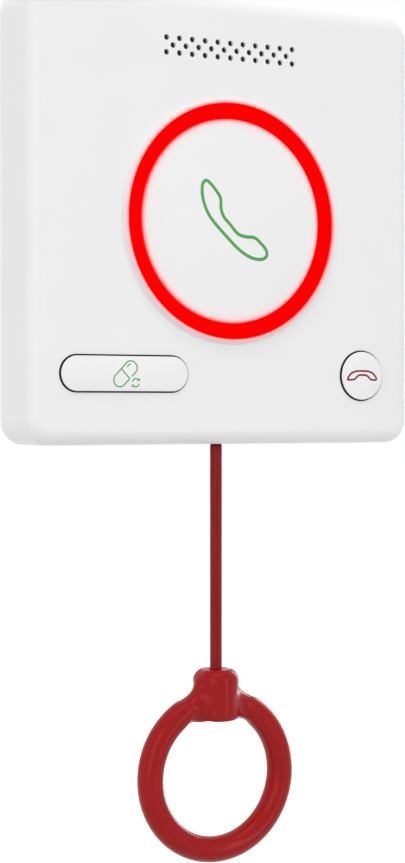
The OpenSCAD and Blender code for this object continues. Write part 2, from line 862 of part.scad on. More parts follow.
// Call button's cap: domed disc with a skirt, a stop flange, a post and three spring pins
module call_cap() {
    flat_r = cap_r - cap_edge_r;
    dome_r = (flat_r * flat_r + cap_dome * cap_dome) / (2 * cap_dome);
    dome_a = asin(flat_r / dome_r);
    top = cap_edge + cap_dome;
    inside_r = cap_r - cap_wall;
    color(white_c) on_wall() {
        rotate_extrude($fn = 180) polygon(concat(
            [[inside_r, cap_under], [inside_r, cap_flange_top - cap_flange_t],
                [cap_flange_r, cap_flange_top - cap_flange_t], [cap_flange_r, cap_flange_top],
                [cap_r, cap_flange_top]],
            arc(flat_r, cap_edge - cap_edge_r, cap_edge_r, 0, 80, 6),
            arc(0, top - dome_r, dome_r, 90 - dome_a, 90, 16),
            [[0, cap_under]]
        ));
        translate([0, 0, call_plunger_top]) {
            cylinder(r = call_post_r, h = cap_under - call_plunger_top + cut);
        }
        for (a = call_spring_places) rotate([0, 0, a]) {
            translate([call_spring_from, 0, cap_under - call_pin_l]) {
                cylinder(r = call_pin_r, h = call_pin_l + cut, $fn = small_fn);
            }
        }
    }
}

module call_springs() {
    color(metal_c) on_wall() for (a = call_spring_places) rotate([0, 0, a]) {
        translate([call_spring_from, 0, board_front]) {
            tube(call_spring_r, call_spring_r - call_spring_wire, cap_under - board_front);
        }
    }
}

// Switch body with a round well that its plunger slides in
module switch_body(side, h, well_r) {
    difference() {
        translate([-side / 2, -side / 2, board_front]) cube([side, side, h]);
        translate([0, 0, board_front + switch_floor]) cylinder(r = well_r, h = h);
    }
}

module call_switch() {
    color(dark_c) on_wall() switch_body(call_switch_side, call_switch_h, call_plunger_r + switch_play);
}

module call_plunger() {
    foot = board_front + switch_floor + call_travel + switch_play;
    color(metal_c) on_wall() translate([0, 0, foot]) {
        cylinder(r = call_plunger_r, h = call_plunger_top - foot);
    }
}

module small_plunger() {
    foot = board_front + switch_floor + small_travel + switch_play;
    translate([0, 0, foot]) cylinder(r = small_plunger_r, h = small_plunger_top - foot, $fn = small_fn);
}

// Reminder button's cap: a hollow stadium with a stop flange and a post, stepped in for its collar
module reminder_cap() {
    w = reminder_w - 2 * small_gap;
    l = reminder_h - 2 * small_gap;
    foot = small_flange_top - small_flange_t;
    flange = 2 * (small_gap + small_flange_w);
    color(white_c) on_wall() at_reminder() {
        difference() {
            union() {
                translate([0, 0, foot]) {
                    stadium_plate(w - 2 * collar_t, l - 2 * collar_t, collar_top + seat - foot);
                    stadium_plate(w + flange, l + flange, small_flange_t);
                }
                translate([0, 0, collar_top]) {
                    crowned_stadium(w, l, small_top - collar_top, small_edge_r, small_crown);
                }
            }
            translate([0, 0, foot - cut]) {
                stadium_plate(w - 2 * cap_wall, l - 2 * cap_wall, small_top - cap_wall - foot + cut);
            }
        }
        small_post();
    }
}

module small_post() {
    translate([0, 0, small_plunger_top]) {
        cylinder(r = small_post_r, h = small_top - cap_wall - small_plunger_top + cut / 2, $fn = small_fn);
    }
}

module reminder_switch() {
    color(dark_c) on_wall() at_reminder() {
        switch_body(small_switch, small_switch_h, small_plunger_r + switch_play);
    }
}

module reminder_plunger() {
    color(metal_c) on_wall() at_reminder() small_plunger();
}

// Soft dark collar round the reminder button's cap
module reminder_collar() {
    w = reminder_w - 2 * small_gap;
    l = reminder_h - 2 * small_gap;
    color(dark_c) on_wall() at_reminder() translate([0, 0, small_flange_top]) difference() {
        stadium_plate(w, l, collar_top - small_flange_top);
        translate([0, 0, -cut]) {
            stadium_plate(w - 2 * collar_t, l - 2 * collar_t, collar_top - small_flange_top + 2 * cut);
        }
    }
}

// Hang-up button's cap: a hollow round cap with a stop flange and a post, stepped in for its collar
module hangup_cap() {
    r = hangup_d / 2 - small_gap;
    foot = small_flange_top - small_flange_t;
    color(white_c) on_wall() at_hangup() {
        difference() {
            union() {
                translate([0, 0, foot]) {
                    cylinder(r = r - collar_t, h = collar_top + seat - foot);
                    cylinder(r = hangup_d / 2 + small_flange_w, h = small_flange_t);
                }
                translate([0, 0, collar_top]) rotate_extrude() {
                    crown_profile(r, small_top - collar_top, small_edge_r, small_crown);
                }
            }
            translate([0, 0, foot - cut]) cylinder(r = r - cap_wall, h = small_top - cap_wall - foot + cut);
        }
        small_post();
    }
}

// Soft dark collar round the hang-up button's cap
module hangup_collar() {
    r = hangup_d / 2 - small_gap;
    color(dark_c) on_wall() at_hangup() translate([0, 0, small_flange_top]) {
        tube(r, r - collar_t, collar_top - small_flange_top);
    }
}

module hangup_switch() {
    color(dark_c) on_wall() at_hangup() {
        switch_body(small_switch, small_switch_h, small_plunger_r + switch_play);
    }
}

module hangup_plunger() {
    color(metal_c) on_wall() at_hangup() small_plunger();
}

// Rubber seals: a lip in the gap round each small button, and a foot behind the cover
module button_seals() {
    lip = small_gap - 0.1;
    color(dark_c) on_wall() {
        at_reminder() difference() {
            union() {
                translate([0, 0, under - seal_foot]) {
                    stadium_plate(reminder_w + 2 * seal_skirt, reminder_h + 2 * seal_skirt, seal_foot);
                }
                translate([0, 0, under - cut]) {
                    stadium_plate(reminder_w - 2 * seat, reminder_h - 2 * seat, seal_lip + cut);
                }
            }
            translate([0, 0, under - 2]) {
                stadium_plate(reminder_w - 2 * lip, reminder_h - 2 * lip, seal_lip + 3);
            }
        }
        at_hangup() difference() {
            union() {
                translate([0, 0, under - seal_foot]) cylinder(r = hangup_d / 2 + seal_skirt, h = seal_foot);
                translate([0, 0, under - cut]) cylinder(r = hangup_d / 2 - seat, h = seal_lip + cut);
            }
            translate([0, 0, under - 2]) cylinder(r = hangup_d / 2 - lip, h = seal_lip + 3);
        }
    }
}

// Loudspeaker basket, open at the front, with a round seat for the magnet
module speaker_frame() {
    depth = speaker_top - speaker_foot;
    color(dark_c) on_wall() at_grille() translate([0, 0, speaker_foot]) difference() {
        stadium_plate(speaker_l, speaker_w, depth);
        translate([0, 0, magnet_h]) {
            stadium_plate(speaker_l - 2 * speaker_wall, speaker_w - 2 * speaker_wall, depth);
        }
        translate([0, 0, -cut]) cylinder(r = magnet_r + seat, h = depth);
    }
}

// Loudspeaker cone: a shallow dish with a rolled edge
module speaker_cone() {
    w = speaker_l - 2 * speaker_wall - 2 * slide;
    l = speaker_w - 2 * speaker_wall - 2 * slide;
    foot = speaker_top - cone_skin - cone_t;
    color("#3A3A3C") on_wall() at_grille() difference() {
        translate([0, 0, foot]) stadium_plate(w, l, cone_t);
        translate([0, 0, foot + cone_skin]) {
            stadium_plate(w - 2 * cone_roll, l - 2 * cone_roll, cone_t);
        }
    }
}

module speaker_magnet() {
    color(metal_c) on_wall() at_grille() translate([0, 0, speaker_foot]) {
        cylinder(r = magnet_r, h = magnet_h);
        translate([0, 0, magnet_h - cut]) {
            cylinder(r = pole_r, h = speaker_top - pole_gap - speaker_foot - magnet_h + cut);
        }
    }
}

module speaker_gasket() {
    color("#4A4A4C") on_wall() at_grille() translate([0, 0, speaker_top]) difference() {
        stadium_plate(speaker_l, speaker_w, gasket_t);
        translate([0, 0, -cut]) {
            stadium_plate(speaker_l - 2 * gasket_w, speaker_w - 2 * gasket_w, gasket_t + 2 * cut);
        }
    }
}

// Spring strips that join the loudspeaker to the board
module speaker_contacts() {
    color(brass_c) on_wall() at_grille() for (s = [-1, 1]) {
        translate([s * speaker_strip_x - speaker_strip_w / 2, -speaker_strip_t / 2, board_front]) {
            cube([speaker_strip_w, speaker_strip_t, speaker_foot - board_front]);
        }
    }
}

// Dark cloth behind the sound holes
module grille_mesh() {
    color("#2C2C2E") on_wall() at_grille() translate([0, 0, mesh_back]) {
        stadium_plate(mesh_w, mesh_l, mesh_t);
    }
}

module microphone() {
    color(metal_c) on_wall() at_grille() translate([mic_x - mic_w / 2, mic_rise - mic_w / 2, board_front]) {
        cube([mic_w, mic_w, mic_h]);
    }
}

// Rubber tube that leads sound from an outer hole to the microphone
module microphone_boot() {
    color(dark_c) on_wall() at_grille() translate([mic_x, mic_rise, board_front + mic_h]) {
        tube(boot_r, grille_hole_d / 2 + seat, mesh_back - board_front - mic_h);
    }
}

// Two cells side by side, their positive ends opposite ways up
module battery_cells() {
    color("#4C5560") on_wall() for (i = [0, 1]) {
        up = i == 0 ? 1 : -1;
        translate([cells_x[i], up * cell_shift, cell_off]) rotate([-90 * up, 0, 0]) {
            translate([0, 0, -cell_l / 2]) cylinder(d = cell_d, h = cell_l - cell_nub_l);
            translate([0, 0, cell_l / 2 - cell_nub_l - cut]) {
                cylinder(r = cell_nub_r, h = cell_nub_l + cut, $fn = small_fn);
            }
        }
    }
}

// Contact plates: one bridges the cells below, two have tags soldered to the board above
module battery_contacts() {
    color(metal_c) on_wall() {
        for (x = cells_x) {
            translate([x - contact_w / 2, bay_half - contact_t, cell_off - contact_w / 2]) {
                cube([contact_w, contact_t, contact_w]);
            }
            translate([x - tag_w / 2, bay_half - contact_t, board_back - tag_t]) {
                cube([tag_w, contact_t + bay_wall + board_tag_l, tag_t]);
            }
        }
        translate([cells_x[0] - contact_w / 2, -bay_half, cell_off - contact_w / 2]) {
            cube([cells_x[1] - cells_x[0] + contact_w, contact_t, contact_w]);
        }
    }
}

// Contact springs that press the cells' flat ends
module battery_springs() {
    color(metal_c) on_wall() for (i = [0, 1]) {
        up = i == 0 ? 1 : -1;
        translate([cells_x[i], up * (contact_t - bay_half), cell_off]) rotate([-90 * up, 0, 0]) difference() {
            cylinder(r1 = cell_spring_r, r2 = cell_spring_r - 1.2, h = cell_spring_l);
            translate([0, 0, -cut]) {
                cylinder(r = cell_spring_r - 1.8, h = cell_spring_l + 2 * cut, $fn = small_fn);
            }
        }
    }
}

// Battery door: pushed down it frees its two hooks, and then lifts off
module battery_door() {
    color(white_c) on_wall() {
        difference() {
            translate([bay_in + door_gap, door_low, rear_back + seat]) {
                cube([bay_right + door_land - bay_in - 2 * door_gap, door_high - door_low, door_t]);
            }
            for (i = [0 : 4]) {
                translate([bay_mid - grip_w / 2, door_low + grip_low + grip_pitch * i, rear_back - cut]) {
                    cube([grip_w, grip_line, seat + grip_deep + cut]);
                }
            }
        }
        for (top = door_hook_tops) translate([bay_mid - door_hook_w / 2, top - door_hook_l, 0]) {
            translate([0, 0, rear_back + door_t]) {
                cube([door_hook_w, door_hook_l, rear_t - door_t + 2 * seat]);
            }
            translate([0, 0, rear_in + 2 * seat]) cube([door_hook_w, door_hook_l + door_reach, door_lip_t]);
        }
    }
}

// Guide: open-backed channel that the slider runs in, screwed behind the front cover
module slider_guide() {
    back = rear_in + 0.4;
    chan_x = slider_x + slide;
    chan_deep = slider_deep + slide;
    ear_l = guide_ear_x - guide_x + guide_wall;
    color("#D8D8D6") on_wall() difference() {
        union() {
            translate([-guide_x, guide_foot, back]) {
                cube([2 * guide_x, guide_top - guide_foot, under - seat - back]);
            }
            at_guide_ears() translate([0, 0, guide_ear_top - guide_ear_t]) {
                cylinder(r = guide_ear_r, h = guide_ear_t);
            }
            translate([-guide_ear_x, guide_ears_y[0] - guide_ear_r, guide_ear_top - guide_ear_t]) {
                cube([ear_l, 2 * guide_ear_r, guide_ear_t]);
            }
            translate([guide_x - guide_wall, guide_ears_y[1] - guide_ear_r, guide_ear_top - guide_ear_t]) {
                cube([ear_l, 2 * guide_ear_r, guide_ear_t]);
            }
        }
        translate([-chan_x, guide_floor, back - cut]) {
            cube([2 * chan_x, guide_cap_in - guide_floor, cord_off + chan_deep - back + cut]);
        }
        translate([-guide_x - cut, guide_foot - cut, under - bore_edge_r]) {
            cube([2 * (guide_x + cut), wall_in + bore_edge_r - guide_foot + cut, bore_edge_r]);
        }
        translate([0, guide_foot - cut, cord_off]) rotate([-90, 0, 0]) {
            cylinder(r = guide_bore_r, h = guide_floor_t + 2 * cut);
        }
        translate([0, plunger_up, cord_off]) rotate([0, 90, 0]) {
            cylinder(r = plunger_r + plunger_play, h = guide_x + cut);
        }
        at_guide_ears() translate([0, 0, guide_ear_top - guide_ear_t - cut]) {
            cylinder(r = guide_screw_r + guide_screw_play, h = guide_ear_t + 2 * cut, $fn = small_fn);
        }
    }
}

module guide_screws() {
    color(metal_c) on_wall() at_guide_ears() translate([0, 0, guide_ear_top - guide_ear_t]) {
        screw(guide_screw_r, guide_screw_l, guide_head_r, guide_head_h);
    }
}

// Slider: the cord's end is crimped in it, and its ramp pushes the switch plunger
module pull_slider() {
    ramp_foot = slider_foot + ramp_lip;
    color("#C8C8C6") on_wall() difference() {
        translate([-slider_x, slider_foot, cord_off - slider_deep]) {
            cube([2 * slider_x, slider_top - slider_foot, 2 * slider_deep]);
        }
        translate([0, 0, cord_off - slider_deep - cut]) linear_extrude(2 * slider_deep + 2 * cut) polygon([
            [ramp_x + ramp_slope * (ramp_foot - plunger_up), ramp_foot],
            [slider_x + cut, ramp_foot],
            [slider_x + cut, slider_top + cut],
            [ramp_x + ramp_slope * (slider_top + cut - plunger_up), slider_top + cut]
        ]);
        translate([0, slider_foot - cut, cord_off]) rotate([-90, 0, 0]) {
            cylinder(r = spring_pocket_r, h = spring_pocket_l + cut, $fn = small_fn);
        }
        translate([0, spring_seat - cut, cord_off]) rotate([-90, 0, 0]) {
            cylinder(r = cord_bore_r, h = slider_web + 2 * cut, $fn = small_fn);
        }
        translate([0, ferrule_foot, cord_off]) rotate([-90, 0, 0]) {
            cylinder(r = ferrule_r + seat, h = slider_top - ferrule_foot + cut, $fn = small_fn);
        }
    }
}

module pull_spring() {
    color(metal_c) on_wall() translate([0, guide_floor, cord_off]) rotate([-90, 0, 0]) {
        tube(pull_spring_r, pull_spring_r - spring_wire, spring_seat - guide_floor);
    }
}

// Tube swept down the vertical line of the cord, through a list of heights
module cord_tube(heights) {
    n = len(heights);
    rings = [for (z = heights, i = [0 : cord_sides - 1]) let (a = (i + 0.5) * 360 / cord_sides)
        [cord_r * cos(a), -cord_off + cord_r * sin(a), z]];
    sides = [for (k = [0 : n - 2], i = [0 : cord_sides - 1])
        let (a = k * cord_sides, b = a + cord_sides, j = (i + 1) % cord_sides)
            each [[a + i, b + i, b + j], [a + i, b + j, a + j]]];
    first = [for (i = [1 : cord_sides - 2]) [0, i, i + 1]];
    last = (n - 1) * cord_sides;
    final = [for (i = [1 : cord_sides - 2]) [last, last + i + 1, last + i]];
    polyhedron(rings, concat(sides, first, final));
}

module inner_cord() {
    top = ferrule_foot + ferrule_l - 0.5;
    low = bend_z + cord_r + bend_gap;
    color(red_c) cord_tube([for (s = inner_route) top + (low - top) * s]);
}

module cord_ferrule() {
    color(metal_c) on_wall() translate([0, ferrule_foot + seat, cord_off]) rotate([-90, 0, 0]) {
        tube(ferrule_r, cord_r + 0.02, ferrule_l);
    }
}

// Switch beside the guide; its legs lie on the board
module pull_switch() {
    leg_x = pull_switch_x + pull_switch_w;
    well_end = plunger_tip + plunger_l + pull_travel * ramp_slope + 0.1;
    color(dark_c) on_wall() difference() {
        union() {
            translate([pull_switch_x, plunger_up - pull_switch_l / 2, cord_off - pull_switch_deep / 2]) {
                cube([pull_switch_w, pull_switch_l, pull_switch_deep]);
            }
            for (i = [-1 : 1]) translate([leg_x - cut, plunger_up + 2 * i - switch_leg_w / 2, board_front]) {
                cube([cut + switch_leg_l, switch_leg_w, switch_leg_t]);
            }
        }
        translate([pull_switch_x - cut, plunger_up, cord_off]) rotate([0, 90, 0]) {
            cylinder(r = plunger_r + plunger_play, h = well_end - pull_switch_x + cut);
        }
    }
}

module pull_plunger() {
    color(brass_c) on_wall() translate([plunger_tip + plunger_r, plunger_up, cord_off]) {
        sphere(r = plunger_r, $fn = small_fn);
        rotate([0, 90, 0]) cylinder(r = plunger_r, h = plunger_l - plunger_r, $fn = small_fn);
    }
}

// Bush in the lower wall that the cord runs through
module cord_bush() {
    color("#8E1B1E") on_cord() polygon(concat(
        [[cord_bore_r, bush_in], [bush_flange_r, bush_in], [bush_flange_r, wall_in + seat],
            [bush_r, wall_in + seat], [bush_r, -half_h]],
        [[bush_mouth_r, -half_h]],
        arc(bush_mouth_r, -half_h + 0.6, 0.6, 270, 180, 6)
    ));
}

// Stretch of the cord that bends just below the bush
module cord_neck() {
    color(red_c) translate([0, -cord_off, bend_z]) sphere(r = cord_r, $fn = small_fn);
}

module pull_cord() {
    top = bend_z - cord_r - bend_gap;
    color(red_c) cord_tube([for (s = cord_route) top + (knot_top - top) * s]);
}

module cord_knot() {
    color(red_c) on_cord() polygon(concat(
        [[0, knot_top], [cord_r, knot_top]],
        arc(knot_r - 0.9, knot_top - 1, 0.9, 90, 0, 5),
        arc(knot_r - 1.2, knot_top - knot_l + 1.2, 1.2, 0, -90, 5),
        [[0, knot_top - knot_l]]
    ));
}

// Pull ring: a moulded ring with a hub; the cord's knot sits in the hub's pocket
module pull_ring() {
    hub_r = hub_d / 2;
    color(red_c) difference() {
        union() {
            translate([0, -cord_off, ring_z]) rotate([90, 0, 0]) rotate_extrude($fn = 144) {
                translate([ring_r, 0]) circle(d = ring_tube, $fn = 64);
            }
            on_cord() polygon(concat(
                [[0, hub_top]],
                shoulder(hub_flat_r, hub_r, hub_top, hub_shoulder, hub_shoulder_turn, 12),
                arc(hub_r - hub_lower_r, hub_bottom + hub_lower_r, hub_lower_r, 0, -90, 8),
                [[0, hub_bottom]]
            ));
        }
        translate([0, -cord_off, pocket_roof - cut]) {
            cylinder(r = cord_bore_r, h = hub_top - pocket_roof + 2 * cut);
        }
        translate([0, -cord_off, hub_bottom - cut]) {
            cylinder(r = pocket_r, h = pocket_roof - hub_bottom + cut);
        }
    }
}

wall_plate();
rear_cover();
front_cover();
cover_seal();
cover_screws();
light_ring();
ring_carrier();
circuit_board();
board_screws();
ring_leds();
controller_chip();
radio_module();
antenna();
call_cap();
call_springs();
call_switch();
call_plunger();
reminder_cap();
reminder_switch();
reminder_plunger();
reminder_collar();
hangup_cap();
hangup_switch();
hangup_plunger();
hangup_collar();
button_seals();
speaker_frame();
speaker_cone();
speaker_magnet();
speaker_gasket();
speaker_contacts();
grille_mesh();
microphone();
microphone_boot();
battery_cells();
battery_contacts();
battery_springs();
battery_door();
slider_guide();
guide_screws();
pull_slider();
pull_spring();
inner_cord();
cord_ferrule();
pull_switch();
pull_plunger();
cord_bush();
cord_neck();
pull_cord();
cord_knot();
pull_ring();
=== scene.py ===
import math

import bmesh
import bpy
import numpy as np
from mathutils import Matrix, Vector


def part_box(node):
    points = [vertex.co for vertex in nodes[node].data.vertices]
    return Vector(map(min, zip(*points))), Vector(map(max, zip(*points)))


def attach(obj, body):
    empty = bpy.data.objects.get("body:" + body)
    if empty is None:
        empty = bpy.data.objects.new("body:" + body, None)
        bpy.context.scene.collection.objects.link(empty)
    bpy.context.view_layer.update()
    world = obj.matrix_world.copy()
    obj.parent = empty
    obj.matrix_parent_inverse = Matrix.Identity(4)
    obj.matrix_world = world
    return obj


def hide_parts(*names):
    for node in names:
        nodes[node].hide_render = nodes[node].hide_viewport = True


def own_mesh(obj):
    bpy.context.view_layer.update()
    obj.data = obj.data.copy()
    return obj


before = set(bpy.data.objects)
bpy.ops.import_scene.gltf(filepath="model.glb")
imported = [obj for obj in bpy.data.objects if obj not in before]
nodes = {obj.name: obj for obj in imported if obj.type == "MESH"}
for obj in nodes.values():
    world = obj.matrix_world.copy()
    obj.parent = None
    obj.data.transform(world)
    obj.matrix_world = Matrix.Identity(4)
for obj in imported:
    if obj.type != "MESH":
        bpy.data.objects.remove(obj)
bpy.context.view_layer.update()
MM = 0.001


# Studio. The panel hangs in front of nothing, lit softly from all round, more from above than
# from below. Two soft boxes stand above and at the left, and three narrow strips draw light
# lines along the cord and ring. The pale floor lies below and keeps the shadow.
scene = bpy.context.scene
scene.view_settings.view_transform = "Standard"
camera = bpy.data.objects.new("camera", bpy.data.cameras.new("camera"))
scene.collection.objects.link(camera)
scene.camera = camera
camera.data.sensor_fit = "AUTO"
camera.data.sensor_width = 36
camera.data.lens = 85.53
camera.data.clip_start = 0.02
camera.data.clip_end = 40
camera.location = (-0.29473, -0.52384, -0.05301)
camera.rotation_euler = (math.radians(90 - 0.656), 0, math.radians(-29.543))


def add_node(tree, kind, place=(0, 0), **settings):
    node = tree.nodes.new(kind)
    node.location = place
    for name, value in settings.items():
        setattr(node, name, value)
    return node


def seen_ray(tree):
    """1 for rays from the camera and for rays that a piece mirrors or lets through, else 0."""
    path = add_node(tree, "ShaderNodeLightPath", (-900, 300))
    first = add_node(tree, "ShaderNodeMath", (-700, 300), operation="MAXIMUM")
    both = add_node(tree, "ShaderNodeMath", (-500, 300), operation="MAXIMUM")
    tree.links.new(path.outputs["Is Camera Ray"], first.inputs[0])
    tree.links.new(path.outputs["Is Glossy Ray"], first.inputs[1])
    tree.links.new(first.outputs[0], both.inputs[0])
    tree.links.new(path.outputs["Is Transmission Ray"], both.inputs[1])
    return both.outputs[0]


world = bpy.data.worlds.new("studio")
scene.world = world
world.use_nodes = True
tree = world.node_tree
tree.nodes.clear()
spot = add_node(tree, "ShaderNodeTexCoord", (-1100, -100))
height = add_node(tree, "ShaderNodeSeparateXYZ", (-900, -100))
tree.links.new(spot.outputs["Generated"], height.inputs[0])
light_from_below, light_from_above = 0.43, 0.92
light_up = add_node(tree, "ShaderNodeMapRange", (-700, -100))
light_up.inputs["From Min"].default_value = -0.5
light_up.inputs["From Max"].default_value = 0.5
light_up.inputs["To Min"].default_value = light_from_below
light_up.inputs["To Max"].default_value = light_from_above
tree.links.new(height.outputs["Z"], light_up.inputs["Value"])
soft_light = add_node(tree, "ShaderNodeBackground", (-450, -100))
soft_light.inputs["Color"].default_value = (1, 1, 1, 1)
tree.links.new(light_up.outputs["Result"], soft_light.inputs["Strength"])
white = add_node(tree, "ShaderNodeBackground", (-450, 100))
white.inputs["Color"].default_value = (1, 1, 1, 1)
white.inputs["Strength"].default_value = 1
mixed = add_node(tree, "ShaderNodeMixShader", (-200, 0))
tree.links.new(seen_ray(tree), mixed.inputs["Fac"])
tree.links.new(soft_light.outputs[0], mixed.inputs[1])
tree.links.new(white.outputs[0], mixed.inputs[2])
tree.links.new(mixed.outputs[0], add_node(tree, "ShaderNodeOutputWorld").inputs[0])


def lamp(name, azimuth, elevation, width, height, level):
    """A soft box 1.2 m from the panel, turned to it, at angles in degrees from the panel's front.
    Its level is its share of the light on what faces it."""
    away = 1.2
    turn, rise = math.radians(azimuth), math.radians(elevation)
    toward = Vector((math.sin(turn) * math.cos(rise), -math.cos(turn) * math.cos(rise), math.sin(rise)))
    place = toward * away
    data = bpy.data.lights.new(name, "AREA")
    data.shape = "RECTANGLE"
    data.size = width
    data.size_y = height
    data.energy = (math.pi * away) ** 2 * level
    obj = bpy.data.objects.new(name, data)
    scene.collection.objects.link(obj)
    obj.location = place
    obj.rotation_euler = (-place).to_track_quat("-Z", "Y").to_euler()


lamp("lamp_above", -20, 66, 0.9, 0.5, 0.11)
lamp("lamp_left", -45, 10, 0.6, 0.9, 0.175)
lamp("strip_left", -98, 5, 0.12, 0.9, 0.05)
lamp("strip_right", 24, 4, 0.16, 0.9, 0.10)
lamp("strip_rear", 115, 5, 0.15, 0.9, 0.22)

floor_r, floor_z, floor_corners = 9, -0.5, 64
floor_mesh = bpy.data.meshes.new("floor")
rim = [
    (floor_r * math.cos(a), floor_r * math.sin(a), floor_z)
    for a in np.linspace(0, 2 * math.pi, floor_corners, endpoint=False)
]
floor_mesh.from_pydata(rim, [], [list(range(floor_corners))])
floor = bpy.data.objects.new("floor", floor_mesh)
scene.collection.objects.link(floor)
paper = bpy.data.materials.new("pale_floor")
paper.use_nodes = True
tree = paper.node_tree
tree.nodes.clear()
matt = add_node(tree, "ShaderNodeBsdfDiffuse", (-200, 0))
matt.inputs["Color"].default_value = (0.58, 0.58, 0.58, 1)
glow = add_node(tree, "ShaderNodeEmission", (-200, -150))
glow.inputs["Color"].default_value = (0.72, 0.72, 0.72, 1)
tree.links.new(seen_ray(tree), glow.inputs["Strength"])
both = add_node(tree, "ShaderNodeAddShader", (0, 0))
tree.links.new(matt.outputs[0], both.inputs[0])
tree.links.new(glow.outputs[0], both.inputs[1])
tree.links.new(both.outputs[0], add_node(tree, "ShaderNodeOutputMaterial", (200, 0)).inputs[0])
floor_mesh.materials.append(paper)


# Wall plate. A flat moulding of pale grey plastic with four hooks, held to the wall by two
# countersunk screws. Its grain is a little coarser than the covers'.
def linear(red, green, blue):
    """A colour given as 0 to 255 on a screen, in the light values that a shader takes."""
    parts = []
    for value in (red, green, blue):
        v = value / 255
        parts.append(v / 12.92 if v <= 0.04045 else ((v + 0.055) / 1.055) ** 2.4)
    return (*parts, 1.0)


def shade(colour, share):
    """A colour with a share of its light."""
    return (colour[0] * share, colour[1] * share, colour[2] * share, 1.0)


def plain_finish(name, rough, metal=0.0, gloss=0.5, coat=0.0, coat_rough=0.1):
    """A material with its shader, and the object's own coordinates to lay patterns on."""
    finish = bpy.data.materials.new(name)
    finish.use_nodes = True
    tree = finish.node_tree
    tree.nodes.clear()
    shader = add_node(tree, "ShaderNodeBsdfPrincipled", (0, 0))
    shader.inputs["Roughness"].default_value = rough
    shader.inputs["Metallic"].default_value = metal
    shader.inputs["Specular IOR Level"].default_value = gloss
    shader.inputs["Coat Weight"].default_value = coat
    shader.inputs["Coat Roughness"].default_value = coat_rough
    out = add_node(tree, "ShaderNodeOutputMaterial", (300, 0))
    tree.links.new(shader.outputs[0], out.inputs[0])
    place = add_node(tree, "ShaderNodeTexCoord", (-1400, 0))
    return finish, tree, shader, place.outputs["Object"]


def tone(tree, value, low, high, place=(-400, 200), start=0.35, stop=0.65):
    """A colour ramp between two close tones, driven by a pattern."""
    ramp = add_node(tree, "ShaderNodeValToRGB", place)
    ramp.color_ramp.elements[0].position = start
    ramp.color_ramp.elements[0].color = low
    ramp.color_ramp.elements[1].position = stop
    ramp.color_ramp.elements[1].color = high
    tree.links.new(value, ramp.inputs[0])
    return ramp.outputs[0]


def noise(tree, where, size, detail=2.0, stretch=None, place=(-800, 0)):
    """Noise whose blots are about size metres wide, drawn out along an axis where asked."""
    if stretch:
        mapping = add_node(tree, "ShaderNodeMapping", (place[0] - 200, place[1]))
        mapping.inputs["Scale"].default_value = stretch
        tree.links.new(where, mapping.inputs["Vector"])
        where = mapping.outputs[0]
    pattern = add_node(tree, "ShaderNodeTexNoise", place)
    pattern.inputs["Scale"].default_value = 1 / size
    pattern.inputs["Detail"].default_value = detail
    tree.links.new(where, pattern.inputs["Vector"])
    return pattern.outputs["Fac"]


def spread(tree, value, low, high, place=(-400, -100)):
    """A pattern's 0.3 to 0.7 laid out between two amounts."""
    node = add_node(tree, "ShaderNodeMapRange", place)
    node.inputs["From Min"].default_value = 0.3
    node.inputs["From Max"].default_value = 0.7
    node.inputs["To Min"].default_value = low
    node.inputs["To Max"].default_value = high
    tree.links.new(value, node.inputs["Value"])
    return node.outputs[0]


def bumps(tree, shader, value, depth, place=(-400, -350)):
    """A pattern felt as a surface that rises and falls by depth."""
    node = add_node(tree, "ShaderNodeBump", place)
    node.inputs["Strength"].default_value = 1.0
    node.inputs["Distance"].default_value = depth
    tree.links.new(value, node.inputs["Height"])
    tree.links.new(node.outputs[0], shader.inputs["Normal"])


def moulded(name, colour, rough=0.5, gloss=0.4, grain=0.25 * MM, depth=0.004 * MM, drift=0.985):
    """Moulded plastic: a fine spark-eroded grain, and a slow drift of tone and gloss."""
    finish, tree, shader, where = plain_finish(name, rough, gloss=gloss)
    slow = noise(tree, where, 30 * MM, 3, place=(-800, 300))
    tree.links.new(tone(tree, slow, shade(colour, drift), colour), shader.inputs["Base Color"])
    cloudy = noise(tree, where, 9 * MM, 4, place=(-800, 0))
    tree.links.new(spread(tree, cloudy, rough - 0.05, rough + 0.05), shader.inputs["Roughness"])
    fine = noise(tree, where, grain, 1, place=(-800, -350))
    bumps(tree, shader, fine, depth)
    return finish


def dress(finish, *names):
    """Gives CAD nodes their finish."""
    for name in names:
        slots = nodes[name].data.materials
        if len(slots) == 0:
            slots.append(finish)
        for i in range(len(slots)):
            slots[i] = finish


plate_plastic = moulded(
    "plate_plastic", linear(222, 222, 219), rough=0.62, grain=0.5 * MM, depth=0.012 * MM
)
dress(plate_plastic, "wall_plate")


# Rear cover and battery door. Both are moulded in the front's white plastic with a coarser grain;
# the door slides down and lifts off by its ribbed thumb grip.
cover_white = linear(239, 239, 239)
rear_plastic = moulded(
    "rear_plastic", shade(cover_white, 0.97), rough=0.58, grain=0.45 * MM, depth=0.010 * MM
)
dress(rear_plastic, "rear_cover", "battery_door")


# Battery cells. Two slim cells in dark film sleeves, with bare metal at both ends. They lie side by
# side in their bay, one each way round.
sleeve_reach = 14 * MM
MIX_FIRST, MIX_SECOND, MIX_RESULT = 6, 7, 2


